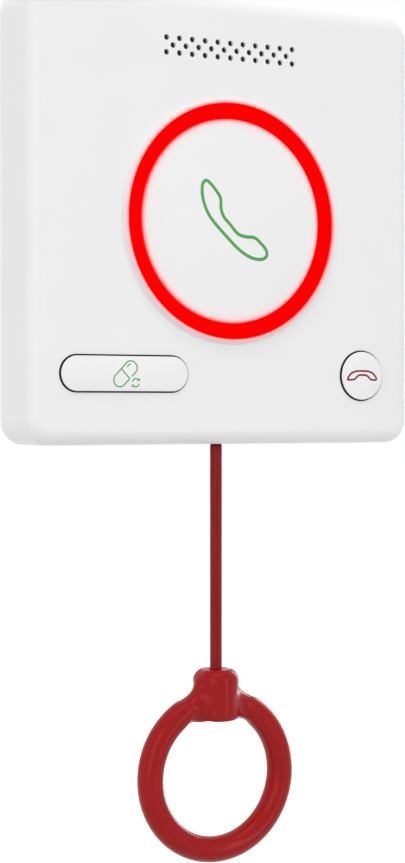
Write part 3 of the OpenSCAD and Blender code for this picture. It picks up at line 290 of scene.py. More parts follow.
def sleeve_finish():
    """Dark film as far as sleeve_reach from the cells' middle, bare metal past it."""
    finish, tree, shader, where = plain_finish("cell_sleeve", 0.32, gloss=0.5, coat=0.4, coat_rough=0.12)
    along = add_node(tree, "ShaderNodeSeparateXYZ", (-1150, 0))
    tree.links.new(where, along.inputs[0])
    folded = add_node(tree, "ShaderNodeMath", (-950, 250), operation="ABSOLUTE")
    tree.links.new(along.outputs["Z"], folded.inputs[0])
    bare = add_node(tree, "ShaderNodeMath", (-750, 250), operation="GREATER_THAN")
    bare.inputs[1].default_value = sleeve_reach
    tree.links.new(folded.outputs[0], bare.inputs[0])
    two = add_node(tree, "ShaderNodeMix", (-500, 250), data_type="RGBA")
    two.inputs[MIX_FIRST].default_value = linear(66, 78, 92)
    two.inputs[MIX_SECOND].default_value = linear(176, 178, 180)
    tree.links.new(bare.outputs[0], two.inputs["Factor"])
    tree.links.new(two.outputs[MIX_RESULT], shader.inputs["Base Color"])
    scuffs = noise(tree, where, 1.5 * MM, 4, (1, 1, 0.1), place=(-750, -50))
    tree.links.new(spread(tree, scuffs, 0.26, 0.4), shader.inputs["Roughness"])
    bumps(tree, shader, scuffs, 0.006 * MM)
    return finish


dress(sleeve_finish(), "battery_cells")


# Battery contacts and springs. Nickelled spring steel: flat plates pressed into the bay's end
# walls, and tapered coils wound from one wire that press on the cells' flat ends.
def metal(name, colour, rough=0.32, size=0.4 * MM, stretch=(1, 1, 1), depth=0.003 * MM):
    """Sheet or wire: fine drawn lines, faint stains and an uneven polish."""
    finish, tree, shader, where = plain_finish(name, rough, metal=1.0)
    stains = noise(tree, where, 6 * MM, 4, place=(-800, 300))
    tree.links.new(tone(tree, stains, shade(colour, 0.86), colour), shader.inputs["Base Color"])
    lines = noise(tree, where, size, 3, stretch, place=(-800, -50))
    tree.links.new(spread(tree, lines, rough - 0.08, rough + 0.1), shader.inputs["Roughness"])
    bumps(tree, shader, lines, depth)
    return finish


nickel = metal("nickelled_steel", linear(196, 198, 200), stretch=(1, 1, 0.08))
dress(nickel, "battery_contacts")


def socket(tree, name, kind, value=None, way="INPUT"):
    """A named input or output on a node tree."""
    entry = tree.interface.new_socket(name=name, in_out=way, socket_type=kind)
    if value is not None:
        entry.default_value = value


def coil_tree():
    """Coils of round wire, one on each point of a mesh, wound along +Z."""
    tree = bpy.data.node_groups.new("wound_springs", "GeometryNodeTree")
    tree.is_modifier = True
    socket(tree, "Places", "NodeSocketGeometry")
    socket(tree, "Turns", "NodeSocketFloat", 6.0)
    socket(tree, "Foot radius", "NodeSocketFloat", 0.002)
    socket(tree, "Head radius", "NodeSocketFloat", 0.002)
    socket(tree, "Length", "NodeSocketFloat", 0.006)
    socket(tree, "Wire radius", "NodeSocketFloat", 0.0002)
    socket(tree, "Turned", "NodeSocketVector")
    socket(tree, "Finish", "NodeSocketMaterial")
    socket(tree, "Springs", "NodeSocketGeometry", way="OUTPUT")
    into = add_node(tree, "NodeGroupInput", (-900, 0))
    coil = add_node(tree, "GeometryNodeCurveSpiral", (-650, 200))
    coil.inputs["Resolution"].default_value = 28
    wire = add_node(tree, "GeometryNodeCurvePrimitiveCircle", (-650, -50))
    wire.inputs["Resolution"].default_value = 8
    tube = add_node(tree, "GeometryNodeCurveToMesh", (-400, 100))
    tube.inputs["Fill Caps"].default_value = True
    put = add_node(tree, "GeometryNodeInstanceOnPoints", (-150, 100))
    turned = add_node(tree, "FunctionNodeEulerToRotation", (-400, -150))
    real = add_node(tree, "GeometryNodeRealizeInstances", (50, 100))
    finish = add_node(tree, "GeometryNodeSetMaterial", (250, 100))
    out = add_node(tree, "NodeGroupOutput", (450, 100))
    join = tree.links.new
    join(into.outputs["Turns"], coil.inputs["Rotations"])
    join(into.outputs["Foot radius"], coil.inputs["Start Radius"])
    join(into.outputs["Head radius"], coil.inputs["End Radius"])
    join(into.outputs["Length"], coil.inputs["Height"])
    join(into.outputs["Wire radius"], wire.inputs["Radius"])
    join(coil.outputs[0], tube.inputs["Curve"])
    join(wire.outputs[0], tube.inputs["Profile Curve"])
    join(into.outputs["Places"], put.inputs["Points"])
    join(tube.outputs[0], put.inputs["Instance"])
    join(into.outputs["Turned"], turned.inputs[0])
    join(turned.outputs[0], put.inputs["Rotation"])
    join(put.outputs[0], real.inputs[0])
    join(real.outputs[0], finish.inputs[0])
    join(into.outputs["Finish"], finish.inputs["Material"])
    join(finish.outputs[0], out.inputs[0])
    return tree


def grown(name, tree, places, **values):
    """A plain mesh piece that a node tree makes on some points, with the tree's named sizes."""
    mesh = bpy.data.meshes.new(name)
    mesh.from_pydata([tuple(p) for p in places], [], [])
    seed = bpy.data.objects.new(name + "_places", mesh)
    scene.collection.objects.link(seed)
    maker = seed.modifiers.new("maker", "NODES")
    maker.node_group = tree
    keys = {item.name: item.identifier for item in tree.interface.items_tree if item.in_out == "INPUT"}
    for label, value in values.items():
        maker[keys[label.replace("_", " ")]] = value
    bpy.context.view_layer.update()
    ready = seed.evaluated_get(bpy.context.evaluated_depsgraph_get())
    result = bpy.data.meshes.new_from_object(ready)
    bpy.data.objects.remove(seed)
    bpy.data.meshes.remove(mesh)
    result.name = name
    for face in result.polygons:
        face.use_smooth = True
    piece = bpy.data.objects.new(name, result)
    scene.collection.objects.link(piece)
    return piece


springs_tree = coil_tree()
wire_r = 0.25 * MM
cell_x = (-53.35 * MM, -42.75 * MM)
cell_y = -10.55 * MM
cell_foot, cell_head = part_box("battery_springs")
cell_coils = [
    grown(
        "battery_coil_%d" % (i + 1), springs_tree, [(cell_x[i], cell_y, end)], Turns=4.5,
        Foot_radius=3.3 * MM, Head_radius=2.0 * MM, Length=4.6 * MM, Wire_radius=wire_r,
        Turned=(turn, 0.0, 0.0), Finish=nickel,
    )
    for i, (end, turn) in enumerate(((cell_foot.z + wire_r, 0.0), (cell_head.z - wire_r, math.pi)))
]
for coil in cell_coils:
    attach(coil, "housing")
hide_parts("battery_springs")


# Circuit board. Green solder mask over copper tracks and tinned pads; the chip, the radio's tin
# can and the antenna strip are soldered on.
def board_finish():
    """Green solder mask, paler where copper tracks run under it."""
    finish, tree, shader, where = plain_finish("solder_mask", 0.3, gloss=0.5, coat=0.3, coat_rough=0.15)
    grid = add_node(tree, "ShaderNodeTexBrick", (-850, 250), offset=0.5, squash=0.6, squash_frequency=3)
    grid.inputs["Scale"].default_value = 260
    grid.inputs["Mortar Size"].default_value = 0.05
    grid.inputs["Brick Width"].default_value = 1.9
    grid.inputs["Row Height"].default_value = 0.35
    grid.inputs["Color1"].default_value = (0, 0, 0, 1)
    grid.inputs["Color2"].default_value = (0.1, 0.1, 0.1, 1)
    grid.inputs["Mortar"].default_value = (1, 1, 1, 1)
    turned = add_node(tree, "ShaderNodeMapping", (-1100, 250))
    turned.inputs["Rotation"].default_value = (math.radians(90), 0, 0)
    tree.links.new(where, turned.inputs["Vector"])
    tree.links.new(turned.outputs[0], grid.inputs["Vector"])
    green = tone(tree, grid.outputs["Color"], linear(24, 92, 52), linear(46, 132, 78), start=0.1, stop=0.7)
    tree.links.new(green, shader.inputs["Base Color"])
    cloudy = noise(tree, where, 4 * MM, 3, place=(-850, -100))
    tree.links.new(spread(tree, cloudy, 0.24, 0.38), shader.inputs["Roughness"])
    bumps(tree, shader, grid.outputs["Color"], 0.02 * MM)
    return finish


dress(board_finish(), "circuit_board")
black_nylon = moulded(
    "black_nylon", linear(44, 44, 46), rough=0.5, grain=0.3 * MM, depth=0.006 * MM, drift=0.9
)
chip_resin = moulded(
    "chip_resin", linear(38, 38, 40), rough=0.6, grain=0.18 * MM, depth=0.005 * MM, drift=0.92
)
dress(chip_resin, "controller_chip")
tin = metal("tinned_steel", linear(188, 190, 192), rough=0.28, stretch=(1, 1, 0.1))
dress(tin, "radio_module", "board_screws", "guide_screws", "cover_screws")
brass = metal("brass_strip", linear(206, 172, 98), rough=0.3, stretch=(1, 0.1, 1))
dress(brass, "antenna", "speaker_contacts", "pull_plunger")


# Switches and plungers. Black nylon bodies on the board, each with a pressed metal plunger that
# snaps down under its button.
dress(black_nylon, "call_switch", "reminder_switch", "hangup_switch", "pull_switch")
plunger_steel = metal("plunger_steel", linear(176, 178, 181), rough=0.36, size=0.3 * MM)
dress(plunger_steel, "call_plunger", "reminder_plunger", "hangup_plunger")


# Return springs. Three coils of spring wire stand on the board and lift the call button's cap; a
# fourth, in the cord's slider, draws the cord back.
spring_steel = metal("spring_steel", linear(168, 170, 174), rough=0.3, size=0.25 * MM)
spring_circle = 20 * MM
cap_spring_low, cap_spring_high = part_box("call_springs")
board_face = cap_spring_high.y
cap_length = board_face - cap_spring_low.y
places = [
    (spring_circle * math.cos(a), board_face - wire_r, spring_circle * math.sin(a))
    for a in (math.radians(90), math.radians(210), math.radians(330))
]
cap_coils = grown(
    "call_coils", springs_tree, places, Turns=6.0, Foot_radius=2.2 * MM, Head_radius=2.2 * MM,
    Length=cap_length - 2 * wire_r, Wire_radius=wire_r, Turned=(math.pi / 2, 0.0, 0.0),
    Finish=spring_steel,
)
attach(cap_coils, "housing")
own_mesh(cap_coils)
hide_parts("call_springs")

cord_y = -11.7 * MM
end_gap = 0.25 * MM
draw_low, draw_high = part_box("pull_spring")
draw_length = draw_high.z - draw_low.z
draw_coil = grown(
    "draw_coil", springs_tree, [(0, cord_y, draw_low.z + end_gap)], Turns=7.0,
    Foot_radius=2.35 * MM, Head_radius=2.35 * MM, Length=draw_length - 2 * end_gap,
    Wire_radius=0.22 * MM, Turned=(0.0, 0.0, 0.0), Finish=spring_steel,
)
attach(draw_coil, "housing")
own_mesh(draw_coil)
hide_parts("pull_spring")


# Front cover. The main moulding: satin white plastic with a faint spark grain, a raised rim round
# the light ring and rounded edges. Four screws and a rubber seal join it to the rear cover.
cover_plastic = moulded(
    "cover_plastic", cover_white, rough=0.38, gloss=0.4, grain=0.22 * MM, depth=0.003 * MM
)
dress(cover_plastic, "front_cover")


def calc(tree, operation, first, second=None):
    """A sum on sockets or numbers, set out in rows below the material's other nodes."""
    row, column = divmod(len(tree.nodes), 6)
    node = add_node(tree, "ShaderNodeMath", (200 * column - 1400, -500 - 180 * row), operation=operation)
    for i, value in enumerate((first, second)):
        if isinstance(value, (int, float)):
            node.inputs[i].default_value = value
        elif value is not None:
            tree.links.new(value, node.inputs[i])
    return node.outputs[0]


def paint_red_glow(finish, edge, way, reach, share, foot=0.0):
    """Painted red glow beside the ring: the colour is mixed towards red and a weak red emission is added.
    It has its share at radius edge and fades over reach, outwards for way 1 and inwards for -1; with a
    foot, only that far off the wall."""
    tree = finish.node_tree
    shader = next(n for n in tree.nodes if n.type == "BSDF_PRINCIPLED")
    place = next(n for n in tree.nodes if n.type == "TEX_COORD")
    split = add_node(tree, "ShaderNodeSeparateXYZ")
    tree.links.new(place.outputs["Object"], split.inputs[0])
    x2 = calc(tree, "MULTIPLY", split.outputs["X"], split.outputs["X"])
    z2 = calc(tree, "MULTIPLY", split.outputs["Z"], split.outputs["Z"])
    radius = calc(tree, "SQRT", calc(tree, "ADD", x2, z2))
    off = calc(tree, "MULTIPLY", calc(tree, "SUBTRACT", radius, edge), way / reach)
    drop = calc(tree, "POWER", calc(tree, "MAXIMUM", off, 0), 1.2)
    kept = calc(tree, "EXPONENT", calc(tree, "MULTIPLY", drop, -1))
    fade = calc(tree, "MULTIPLY", kept, share)
    if foot:
        rise = add_node(tree, "ShaderNodeMapRange")
        rise.inputs["From Min"].default_value = -foot
        rise.inputs["From Max"].default_value = -foot - 2 * MM
        tree.links.new(split.outputs["Y"], rise.inputs["Value"])
        fade = calc(tree, "MULTIPLY", fade, rise.outputs[0])
    # Painted glow: base colour mixed towards red, plus a faint red emission.
    mix = add_node(tree, "ShaderNodeMix", data_type="RGBA")
    plain = shader.inputs["Base Color"].links[0].from_socket
    tree.links.new(fade, mix.inputs["Factor"])
    tree.links.new(plain, mix.inputs[MIX_FIRST])
    mix.inputs[MIX_SECOND].default_value = (0.9, 0.0, 0.0, 1)
    tree.links.new(mix.outputs[MIX_RESULT], shader.inputs["Base Color"])
    shader.inputs["Emission Color"].default_value = (1, 0, 0, 1)
    tree.links.new(calc(tree, "MULTIPLY", fade, 0.25), shader.inputs["Emission Strength"])


ring_edge, ring_foot = 33.5 * MM, 19.8 * MM
# Painted red glow on the raised rim round the light ring.
paint_red_glow(cover_plastic, ring_edge, 1, reach=0.66 * MM, share=0.74, foot=ring_foot)
black_rubber = moulded(
    "black_rubber", linear(50, 50, 51), rough=0.78, gloss=0.3, grain=0.2 * MM, depth=0.01 * MM, drift=0.85
)
dress(black_rubber, "cover_seal", "button_seals", "microphone_boot", "speaker_gasket")
dress(black_rubber, "reminder_collar", "hangup_collar")


# Light ring. A clear ring dyed red, lit from behind by sixteen lamps through a white channel that
# keeps the light in. It glows evenly along its top.
def lit_finish():
    """Red resin that glows, a little unevenly."""
    finish, tree, shader, where = plain_finish("lit_red", 0.4, gloss=0.0)
    soft = noise(tree, where, 14 * MM, 2, place=(-800, 200))
    body = tone(tree, soft, (0.36, 0.0, 0.0, 1), (0.42, 0.0, 0.0, 1))
    tree.links.new(body, shader.inputs["Base Color"])
    shader.inputs["Emission Color"].default_value = (1, 0, 0, 1)
    tree.links.new(spread(tree, soft, 2.6, 2.9), shader.inputs["Emission Strength"])
    return finish


dress(lit_finish(), "light_ring")
channel_white = moulded("channel_white", linear(236, 236, 233), rough=0.55, grain=0.4 * MM)
dress(channel_white, "ring_carrier")
lamp_resin = moulded("lamp_resin", linear(240, 228, 190), rough=0.3, gloss=0.5, grain=0.3 * MM)
dress(lamp_resin, "ring_leds")


# Call button. One domed cap moulded in white plastic, a touch duller than the cover, with a thick
# pad-printed outline of a telephone handset.
cap_white = linear(241, 241, 241)
cap_plastic, call_plastic = (
    moulded(name, cap_white, rough=0.4, gloss=0.35, grain=0.22 * MM, depth=0.002 * MM)
    for name in ("cap_plastic", "call_plastic")
)
dress(cap_plastic, "reminder_cap", "hangup_cap")
call_edge = 29.0 * MM
# Painted red glow round the call cap's edge, inside the light ring.
paint_red_glow(call_plastic, call_edge, -1, reach=0.72 * MM, share=0.96)
dress(call_plastic, "call_cap")


def ink(name, colour):
    """Pad-printed ink: slightly uneven cover, a soft gloss."""
    finish, tree, shader, where = plain_finish(name, 0.42, gloss=0.4)
    uneven = noise(tree, where, 3 * MM, 5, place=(-800, 200))
    tree.links.new(tone(tree, uneven, shade(colour, 0.88), colour), shader.inputs["Base Color"])
    fine = noise(tree, where, 0.15 * MM, 2, place=(-800, -200))
    tree.links.new(spread(tree, fine, 0.36, 0.5), shader.inputs["Roughness"])
    bumps(tree, shader, fine, 0.004 * MM)
    return finish


def eased(points, closed, step):
    """A smooth line through points, in even steps."""
    p = np.array(points, float)
    n = len(p)
    fine = []
    for i in range(n if closed else n - 1):
        if closed:
            a, b, c, d = p[i - 1], p[i], p[(i + 1) % n], p[(i + 2) % n]
        else:
            a, b, c, d = p[max(i - 1, 0)], p[i], p[i + 1], p[min(i + 2, n - 1)]
        for t in np.linspace(0, 1, 12, endpoint=False):
            fine.append(0.5 * (2 * b + (c - a) * t + (2 * a - 5 * b + 4 * c - d) * t * t
                               + (3 * b - a - 3 * c + d) * t ** 3))
    fine.append(p[0] if closed else p[-1])
    fine = np.array(fine)
    run = np.concatenate([[0], np.cumsum(np.linalg.norm(np.diff(fine, axis=0), axis=1))])
    count = max(int(run[-1] / step), 4)
    at = np.linspace(0, run[-1], count + 1)
    even = np.stack([np.interp(at, run, fine[:, k]) for k in (0, 1)], 1)
    return even[:-1] if closed else even


def printed(name, strokes, centre, surface, finish):
    """Raised print: each stroke is (points, closed, width) in mm round centre, laid on surface."""
    step, lift, sunk, narrowest = 0.1, 0.035, -0.02, 0.2
    profile = ((-1, sunk), (-1, 0.4 * lift), (-0.8, lift), (0.8, lift), (1, 0.4 * lift), (1, sunk))
    bm = bmesh.new()
    for points, closed, width in strokes:
        line = eased(points, closed, step)
        n = len(line)
        if closed:
            along = np.roll(line, -1, 0) - np.roll(line, 1, 0)
        else:
            along = np.gradient(line, axis=0)
        along /= np.linalg.norm(along, axis=1, keepdims=True)
        across = np.stack([-along[:, 1], along[:, 0]], 1)
        rows = []
        for i in range(n):
            row = []
            end = 1.0
            if not closed:
                reach = min(i, n - 1 - i) * step
                end = math.sqrt(max(0.0, 1 - max(0.0, 1 - reach / (width / 2)) ** 2))
                end = max(end, narrowest)
            for share, up in profile:
                x, z = line[i] + across[i] * width / 2 * share * end
                x += centre[0]
                z += centre[1]
                row.append(bm.verts.new((x * MM, -(surface(x, z) + up) * MM, z * MM)))
            rows.append(row)
        last = n if closed else n - 1
        for i in range(last):
            a, b = rows[i], rows[(i + 1) % n]
            for k in range(len(profile)):
                m = (k + 1) % len(profile)
                bm.faces.new((a[k], a[m], b[m], b[k]))
        if not closed:
            bm.faces.new(rows[0][::-1])
            bm.faces.new(rows[-1])
    bmesh.ops.recalc_face_normals(bm, faces=bm.faces)
    mesh = bpy.data.meshes.new(name)
    bm.to_mesh(mesh)
    bm.free()
    for face in mesh.polygons:
        face.use_smooth = True
    mesh.materials.append(finish)
    piece = bpy.data.objects.new(name, mesh)
    scene.collection.objects.link(piece)
    return piece


dome_r, dome_top = 406.6, 21.95


def call_dome(x, z):
    """Distance off the wall of the cap's dome."""
    return dome_top - dome_r + math.sqrt(dome_r * dome_r - x * x - z * z)


green_ink = ink("green_ink", linear(72, 166, 72))
handset = [
    (-9.1, 11.05), (-10.2, 9.5), (-10.05, 6.1), (-8.75, 2.5), (-6.75, -0.3), (-2.5, -4.4), (1.85, -8.1),
    (5.65, -10.1), (9.0, -10.55), (10.9, -9.6), (10.75, -7.8), (8.9, -5.9), (6.8, -4.45), (4.05, -4.3),
    (1.3, -3.55), (-1.0, -1.3), (-3.3, 1.05), (-4.2, 3.3), (-4.4, 6.3), (-5.9, 8.5), (-7.7, 10.4),
]
handset_line = 0.95
handset_mark = printed("handset_mark", [(handset, True, handset_line)], (0, 0), call_dome, green_ink)
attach(handset_mark, "call_button")


# Small buttons. The long reminder cap carries a capsule and a two-arrow cycle, the round hang-up
# cap a laid-down handset. A black rubber collar fills the gap round each.
crown = 0.35


def crowned(node, straight, flat_r):
    """A small cap's face: distance off the wall at a place, highest along its straight middle line
    and lower by the crown at flat_r from it."""
    low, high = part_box(node)
    x0, z0 = (low.x + high.x) / 2 / MM, (low.z + high.z) / 2 / MM
    bow = (flat_r ** 2 + crown ** 2) / (2 * crown)

    def surface(x, z):
        off = math.hypot(max(abs(x - x0) - straight, 0), z - z0)
        return -low.y / MM - bow + math.sqrt(bow ** 2 - off ** 2)
    return surface


def off(centre, r, angle):
    """The point at a radius and an angle in degrees from a centre."""
    return (
        centre[0] + r * math.cos(math.radians(angle)),
        centre[1] + r * math.sin(math.radians(angle)),
    )


def arc(centre, r, start, stop, count):
    return [off(centre, r, start + (stop - start) * i / count) for i in range(count + 1)]


tilt = 44.5
pill_r = 1.9
pill_top, pill_foot, pill_split = (1.45, 1.65), (-2.0, -1.75), (-0.27, -0.05)
left_end = off(pill_split, pill_r, tilt + 90)
right_end = off(pill_split, pill_r, tilt - 90)
gap_end = off(right_end, 0.85, tilt)
cycle, cycle_r = (2.96, -2.53), 1.12
pill_line, shine_line, cycle_line, arrow_line = 0.37, 0.34, 0.36, 0.46
foot_half = arc(pill_foot, pill_r, tilt + 90, tilt + 270, 10)
top_half = arc(pill_top, pill_r, tilt + 90, tilt - 90, 10)
capsule = [
    (foot_half + [right_end], False, pill_line),
    ([foot_half[0], left_end] + top_half + [gap_end], False, pill_line),
    ([left_end, pill_split, right_end], False, pill_line),
    (arc(pill_top, 1.05, 178, 92, 5), False, shine_line),
    (arc(cycle, cycle_r, 165, 35, 6), False, cycle_line),
    (arc(cycle, cycle_r, 345, 215, 6), False, cycle_line),
    ([(3.5, -1.95), (4.12, -1.75)], False, arrow_line),
    ([(4.05, -1.3), (4.1, -1.85)], False, cycle_line),
    ([(2.4, -3.12), (1.8, -3.3)], False, arrow_line),
    ([(1.85, -3.75), (1.82, -3.2)], False, cycle_line),
]
reminder_face = crowned("reminder_cap", straight=14.8, flat_r=4.65)
reminder_middle = (-33.9, -43.5)
capsule_mark = printed("capsule_mark", capsule, reminder_middle, reminder_face, green_ink)
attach(capsule_mark, "reminder_button")
dark_red_ink = ink("dark_red_ink", linear(134, 12, 24))
laid_handset = [
    (-5.0, -1.05), (-4.6, -0.2), (-3.75, 0.7), (-2.5, 1.22), (-1.2, 1.38), (0, 1.4), (1.2, 1.38),
    (2.45, 1.25), (3.75, 0.75), (4.7, -0.15), (5.15, -0.85), (4.8, -1.2), (3.65, -1.16), (2.9, -1.0),
    (2.1, -0.25), (1.2, 0.18), (0, 0.22), (-1.0, 0.18), (-1.8, -0.25), (-2.6, -1.0), (-3.4, -1.16),
    (-4.5, -1.2),
]
laid_line = 0.58
hangup_face = crowned("hangup_cap", straight=0, flat_r=6.85)
hangup_middle = (44.35, -43.5)
laid_mark = printed(
    "laid_handset_mark", [(laid_handset, True, laid_line)], hangup_middle, hangup_face, dark_red_ink
)
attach(laid_mark, "hangup_button")


# Loudspeaker and microphone. A black basket with a paper cone and a plated magnet, pressed to the
# cover over a rubber gasket; woven black cloth keeps dust out of the sound holes.
dress(black_nylon, "speaker_frame")
paper_cone = moulded(
    "paper_cone", linear(58, 58, 60), rough=0.85, gloss=0.2, grain=0.35 * MM, depth=0.02 * MM, drift=0.85
)
dress(paper_cone, "speaker_cone")
magnet_steel = metal("magnet_steel", linear(150, 152, 155), rough=0.42)
dress(magnet_steel, "speaker_magnet", "microphone")


def cloth_finish():
    """Two sets of crossed threads, a little over half a millimetre apart."""
    finish, tree, shader, where = plain_finish("black_cloth", 0.85, gloss=0.2)
    threads = []
    for axis, at in (("X", 300), ("Z", 50)):
        wave = add_node(tree, "ShaderNodeTexWave", (-850, at), wave_type="BANDS", bands_direction=axis)
        wave.inputs["Scale"].default_value = 550
        wave.inputs["Distortion"].default_value = 0.4
        tree.links.new(where, wave.inputs["Vector"])
        threads.append(wave.outputs["Fac"])
    weave = add_node(tree, "ShaderNodeMath", (-650, 200), operation="MAXIMUM")
    tree.links.new(threads[0], weave.inputs[0])
    tree.links.new(threads[1], weave.inputs[1])
    black = tone(tree, weave.outputs[0], linear(22, 22, 23), linear(50, 50, 52), start=0.2, stop=0.9)
    tree.links.new(black, shader.inputs["Base Color"])
    bumps(tree, shader, weave.outputs[0], 0.05 * MM)
    return finish


dress(cloth_finish(), "grille_mesh")


# Pull mechanism. The cord's end is crimped in a steel ferrule inside a grey slider, which runs
# in a grey guide and pushes the switch beside it with its ramp.
grey_nylon = moulded(
    "grey_nylon", linear(206, 206, 203), rough=0.5, grain=0.3 * MM, depth=0.006 * MM, drift=0.95
)
dress(grey_nylon, "slider_guide", "pull_slider")
dress(spring_steel, "cord_ferrule")
red = linear(159, 17, 19)
bush_plastic = moulded("bush_plastic", shade(red, 0.85), rough=0.42, grain=0.2 * MM, drift=0.9)
dress(bush_plastic, "cord_bush")


# Cord. Soft dark red sheath over a textile core, 3.5 mm thick, hanging straight from the bush to
# the knot in the ring's hub. The short stretch inside the panel is the same cord.
def cord_finish():
    """Streaks that run along the cord, in tone and in the surface."""
    finish, tree, shader, where = plain_finish("cord_sheath", 0.26, gloss=0.14)
    streaks = noise(tree, where, 0.9 * MM, 3, (1, 1, 0.06), place=(-800, 250))
    dark_red = tone(tree, streaks, linear(128, 14, 15), linear(146, 19, 20))
    tree.links.new(dark_red, shader.inputs["Base Color"])
    dull = noise(tree, where, 2.5 * MM, 4, (1, 1, 0.3), place=(-800, 0))
    tree.links.new(spread(tree, dull, 0.23, 0.3), shader.inputs["Roughness"])
    bumps(tree, shader, streaks, 0.02 * MM)
    return finish


cord_sheath = cord_finish()
knot_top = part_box("cord_knot")[1].z
cord_r = 1.75 * MM
neck_low, neck_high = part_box("cord_neck")
swing_z = (neck_low.z + neck_high.z) / 2


def cord_mesh():
    """The free cord. Its top is a ball round the swing point, so that it can swing in the bush."""
    ball_r, straight_from = cord_r + 0.03 * MM, 0.3 * MM
    sides, ball_rows, straight_rows = 28, 9, 110
    levels = [swing_z + ball_r * math.cos(a) for a in np.linspace(0.1, 1.3, ball_rows)]
    levels += list(np.linspace(swing_z + straight_from, knot_top, straight_rows))
    verts = []
    for z in levels:
        r = min(cord_r, math.sqrt(max(ball_r ** 2 - max(z - swing_z, 0) ** 2, 0)))
        for k in range(sides):
            a = 2 * math.pi * k / sides
            verts.append((r * math.cos(a), cord_y + r * math.sin(a), z))
    last = len(levels) - 1
    faces = []
    for i in range(last):
        upper, lower = i * sides, (i + 1) * sides
        for k in range(sides):
            m = (k + 1) % sides
            faces.append((upper + k, lower + k, lower + m, upper + m))
    faces += [tuple(range(sides)), tuple(last * sides + k for k in reversed(range(sides)))]
    mesh = bpy.data.meshes.new("cord")
    mesh.from_pydata(verts, [], faces)
    for face in mesh.polygons:
        face.use_smooth = len(face.vertices) == 4
    return mesh


cord = bpy.data.objects.new("hanging_cord", cord_mesh())
cord.data.materials.append(cord_sheath)
scene.collection.objects.link(cord)
dress(cord_sheath, "inner_cord", "cord_knot")
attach(cord, "cord")
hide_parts("cord_neck", "pull_cord")


# Pull ring. One moulding in smooth red plastic: a round ring that flows into a hub with a rounded
# top. The cord goes down through the hub, and its knot sits in the pocket below.
ring_big, ring_small = 21.5, 3.75
ring_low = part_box("pull_ring")[0].z / MM
hub_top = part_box("pull_ring")[1].z / MM
ring_z = ring_low + ring_small + ring_big
hub_height, hub_r, hub_flat_r, shoulder, foot_round = 14.7, 6.75, 4.6, 3.5, 1.5
hub_bottom = hub_top - hub_height
pocket_roof, pocket_r, bore_r = hub_top - 8, 3.4, 1.9


def hub_outline():
    """The hub's half profile from the axis at the top round to the axis at the bottom."""
    turn = math.radians(55)
    wide, tall = (hub_r - hub_flat_r) / (1 - math.cos(turn)), shoulder / math.sin(turn)
    points = [(0, hub_top)]
    for a in np.linspace(turn, 0, 9):
        points.append((hub_r - wide * (1 - math.cos(a)), hub_top - shoulder + tall * math.sin(a)))
    for a in np.linspace(0, math.pi / 2, 7):
        points.append((
            hub_r - foot_round + foot_round * math.cos(a),
            hub_bottom + foot_round - foot_round * math.sin(a),
        ))
    return points + [(0, hub_bottom - 0.25)]


def inside_outline(px, pz, points):
    """Distance to a closed outline that the axis closes, below 0 inside it."""
    best = np.full(px.shape, 1e9)
    within = np.zeros(px.shape, bool)
    for (ax, az), (bx, bz) in zip(points, points[1:]):
        ex, ez = bx - ax, bz - az
        t = np.clip(((px - ax) * ex + (pz - az) * ez) / (ex * ex + ez * ez), 0, 1)
        best = np.minimum(best, (px - ax - t * ex) ** 2 + (pz - az - t * ez) ** 2)
        crosses = (az > pz) != (bz > pz)
        within ^= crosses & (px < ax + (pz - az) * ex / (ez if ez else 1e-9))
    away = np.sqrt(best)
    return np.where(within, -away, away)


hub_points = hub_outline()


def ring_field(p):
    """Distance in mm to the ring's surface, below 0 inside, for rows of x, y from the cord, and z.
    The arms flow into the hub most at its sides and least at its front and back."""
    x, y, z = p[:, 0], p[:, 1], p[:, 2]
    away = np.sqrt(x * x + (z - ring_z) ** 2) - ring_big
    torus = np.sqrt(away * away + y * y) - ring_small
    out = np.sqrt(x * x + y * y)
    hub = inside_outline(out, z, hub_points)
    least_blend, side_blend, side_depth = 2.8, 3.6, 3.2
    blend = least_blend + side_blend * np.exp(-(y / side_depth) ** 2)
    share = np.clip(0.5 + 0.5 * (hub - torus) / blend, 0, 1)
    body = hub * (1 - share) + torus * share - blend * share * (1 - share) * 0.5
    bore_past, pocket_past = 0.2, 5
    bore = np.maximum(out - bore_r, pocket_roof - bore_past - z)
    pocket = np.maximum(np.maximum(out - pocket_r, z - pocket_roof), hub_bottom - pocket_past - z)
    return np.maximum(np.maximum(body, -bore), -pocket)


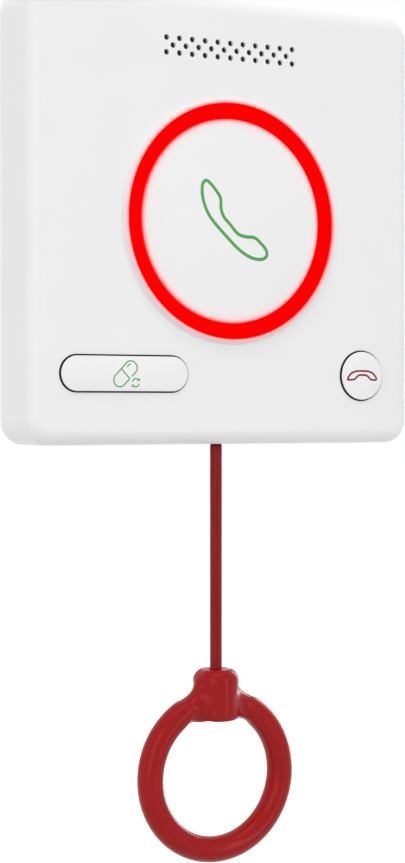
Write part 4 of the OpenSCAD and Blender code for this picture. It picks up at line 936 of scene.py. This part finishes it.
def skinned(name, field, low, high, step):
    """A closed mesh on a field's zero surface: one point a cell, then drawn onto the surface."""
    axes = [np.arange(a, b + step, step) for a, b in zip(low, high)]
    shape = [len(a) for a in axes]
    grid = np.stack(np.meshgrid(*axes, indexing="ij"), -1).reshape(-1, 3)
    value = field(grid).reshape(shape)
    inside = value < 0
    cells = [s - 1 for s in shape]
    total = np.zeros((*cells, 3))
    count = np.zeros(cells)
    edges = []
    for axis in range(3):
        a = [slice(None)] * 3
        b = [slice(None)] * 3
        a[axis] = slice(0, -1)
        b[axis] = slice(1, None)
        cross = inside[tuple(a)] != inside[tuple(b)]
        t = np.where(cross, value[tuple(a)] / (value[tuple(a)] - value[tuple(b)] + 1e-12), 0)
        edges.append((cross, inside[tuple(a)]))
        others = [k for k in range(3) if k != axis]
        for i in (0, 1):
            for j in (0, 1):
                part = [slice(None)] * 3
                part[axis] = slice(0, cells[axis])
                part[others[0]] = slice(i, cells[others[0]] + i)
                part[others[1]] = slice(j, cells[others[1]] + j)
                hit = cross[tuple(part)]
                count += hit
                total[..., axis] += np.where(hit, t[tuple(part)], 0)
                total[..., others[0]] += hit * i
                total[..., others[1]] += hit * j
    used = count > 0
    number = -np.ones(cells, int)
    number[used] = np.arange(used.sum())
    where = np.argwhere(used)
    points = (where + total[used] / count[used][:, None]) * step + np.array(low)
    quads = []
    for axis in range(3):
        cross, first = edges[axis]
        o1, o2 = [k for k in range(3) if k != axis]
        spots = np.argwhere(cross)
        within = (spots[:, [o1, o2]] > 0) & (spots[:, [o1, o2]] < (cells[o1], cells[o2]))
        spots = spots[within.all(1)]
        corners = []
        for i, j in ((1, 1), (0, 1), (0, 0), (1, 0)):
            c = spots.copy()
            c[:, o1] -= i
            c[:, o2] -= j
            corners.append(number[c[:, 0], c[:, 1], c[:, 2]])
        quad = np.stack(corners, 1)
        turn = first[spots[:, 0], spots[:, 1], spots[:, 2]]
        if axis == 1:
            turn = ~turn
        quad[~turn] = quad[~turn][:, ::-1]
        quads.append(quad)
    rounds, nudge, pace, least_slope = 4, 0.01, 0.8, 0.3
    for _ in range(rounds):
        here = field(points)
        slope = np.stack([
            field(points + step_out) - field(points - step_out) for step_out in np.eye(3) * nudge
        ], 1) / (2 * nudge)
        points -= pace * slope * (here / np.maximum((slope ** 2).sum(1), least_slope))[:, None]
    mesh = bpy.data.meshes.new(name)
    mesh.from_pydata(points.tolist(), [], np.concatenate(quads).tolist())
    bm = bmesh.new()
    bm.from_mesh(mesh)
    bmesh.ops.recalc_face_normals(bm, faces=bm.faces)
    bm.to_mesh(mesh)
    bm.free()
    return mesh


half_wide, half_deep, cell = 26.2, 8, 0.4
ring_mesh = skinned(
    "pull_ring", ring_field, (-half_wide, -half_deep, ring_low - 1),
    (half_wide, half_deep, hub_top + 1), cell,
)
for vertex in ring_mesh.vertices:
    vertex.co = (vertex.co.x * MM, vertex.co.y * MM + cord_y, vertex.co.z * MM)
for face in ring_mesh.polygons:
    face.use_smooth = True
ring = bpy.data.objects.new("finger_ring", ring_mesh)
scene.collection.objects.link(ring)
ring_plastic = moulded(
    "ring_plastic", red, rough=0.22, gloss=0.14, grain=0.2 * MM, depth=0.003 * MM, drift=0.93
)
ring_mesh.materials.append(ring_plastic)
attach(ring, "ring")
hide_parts("pull_ring")
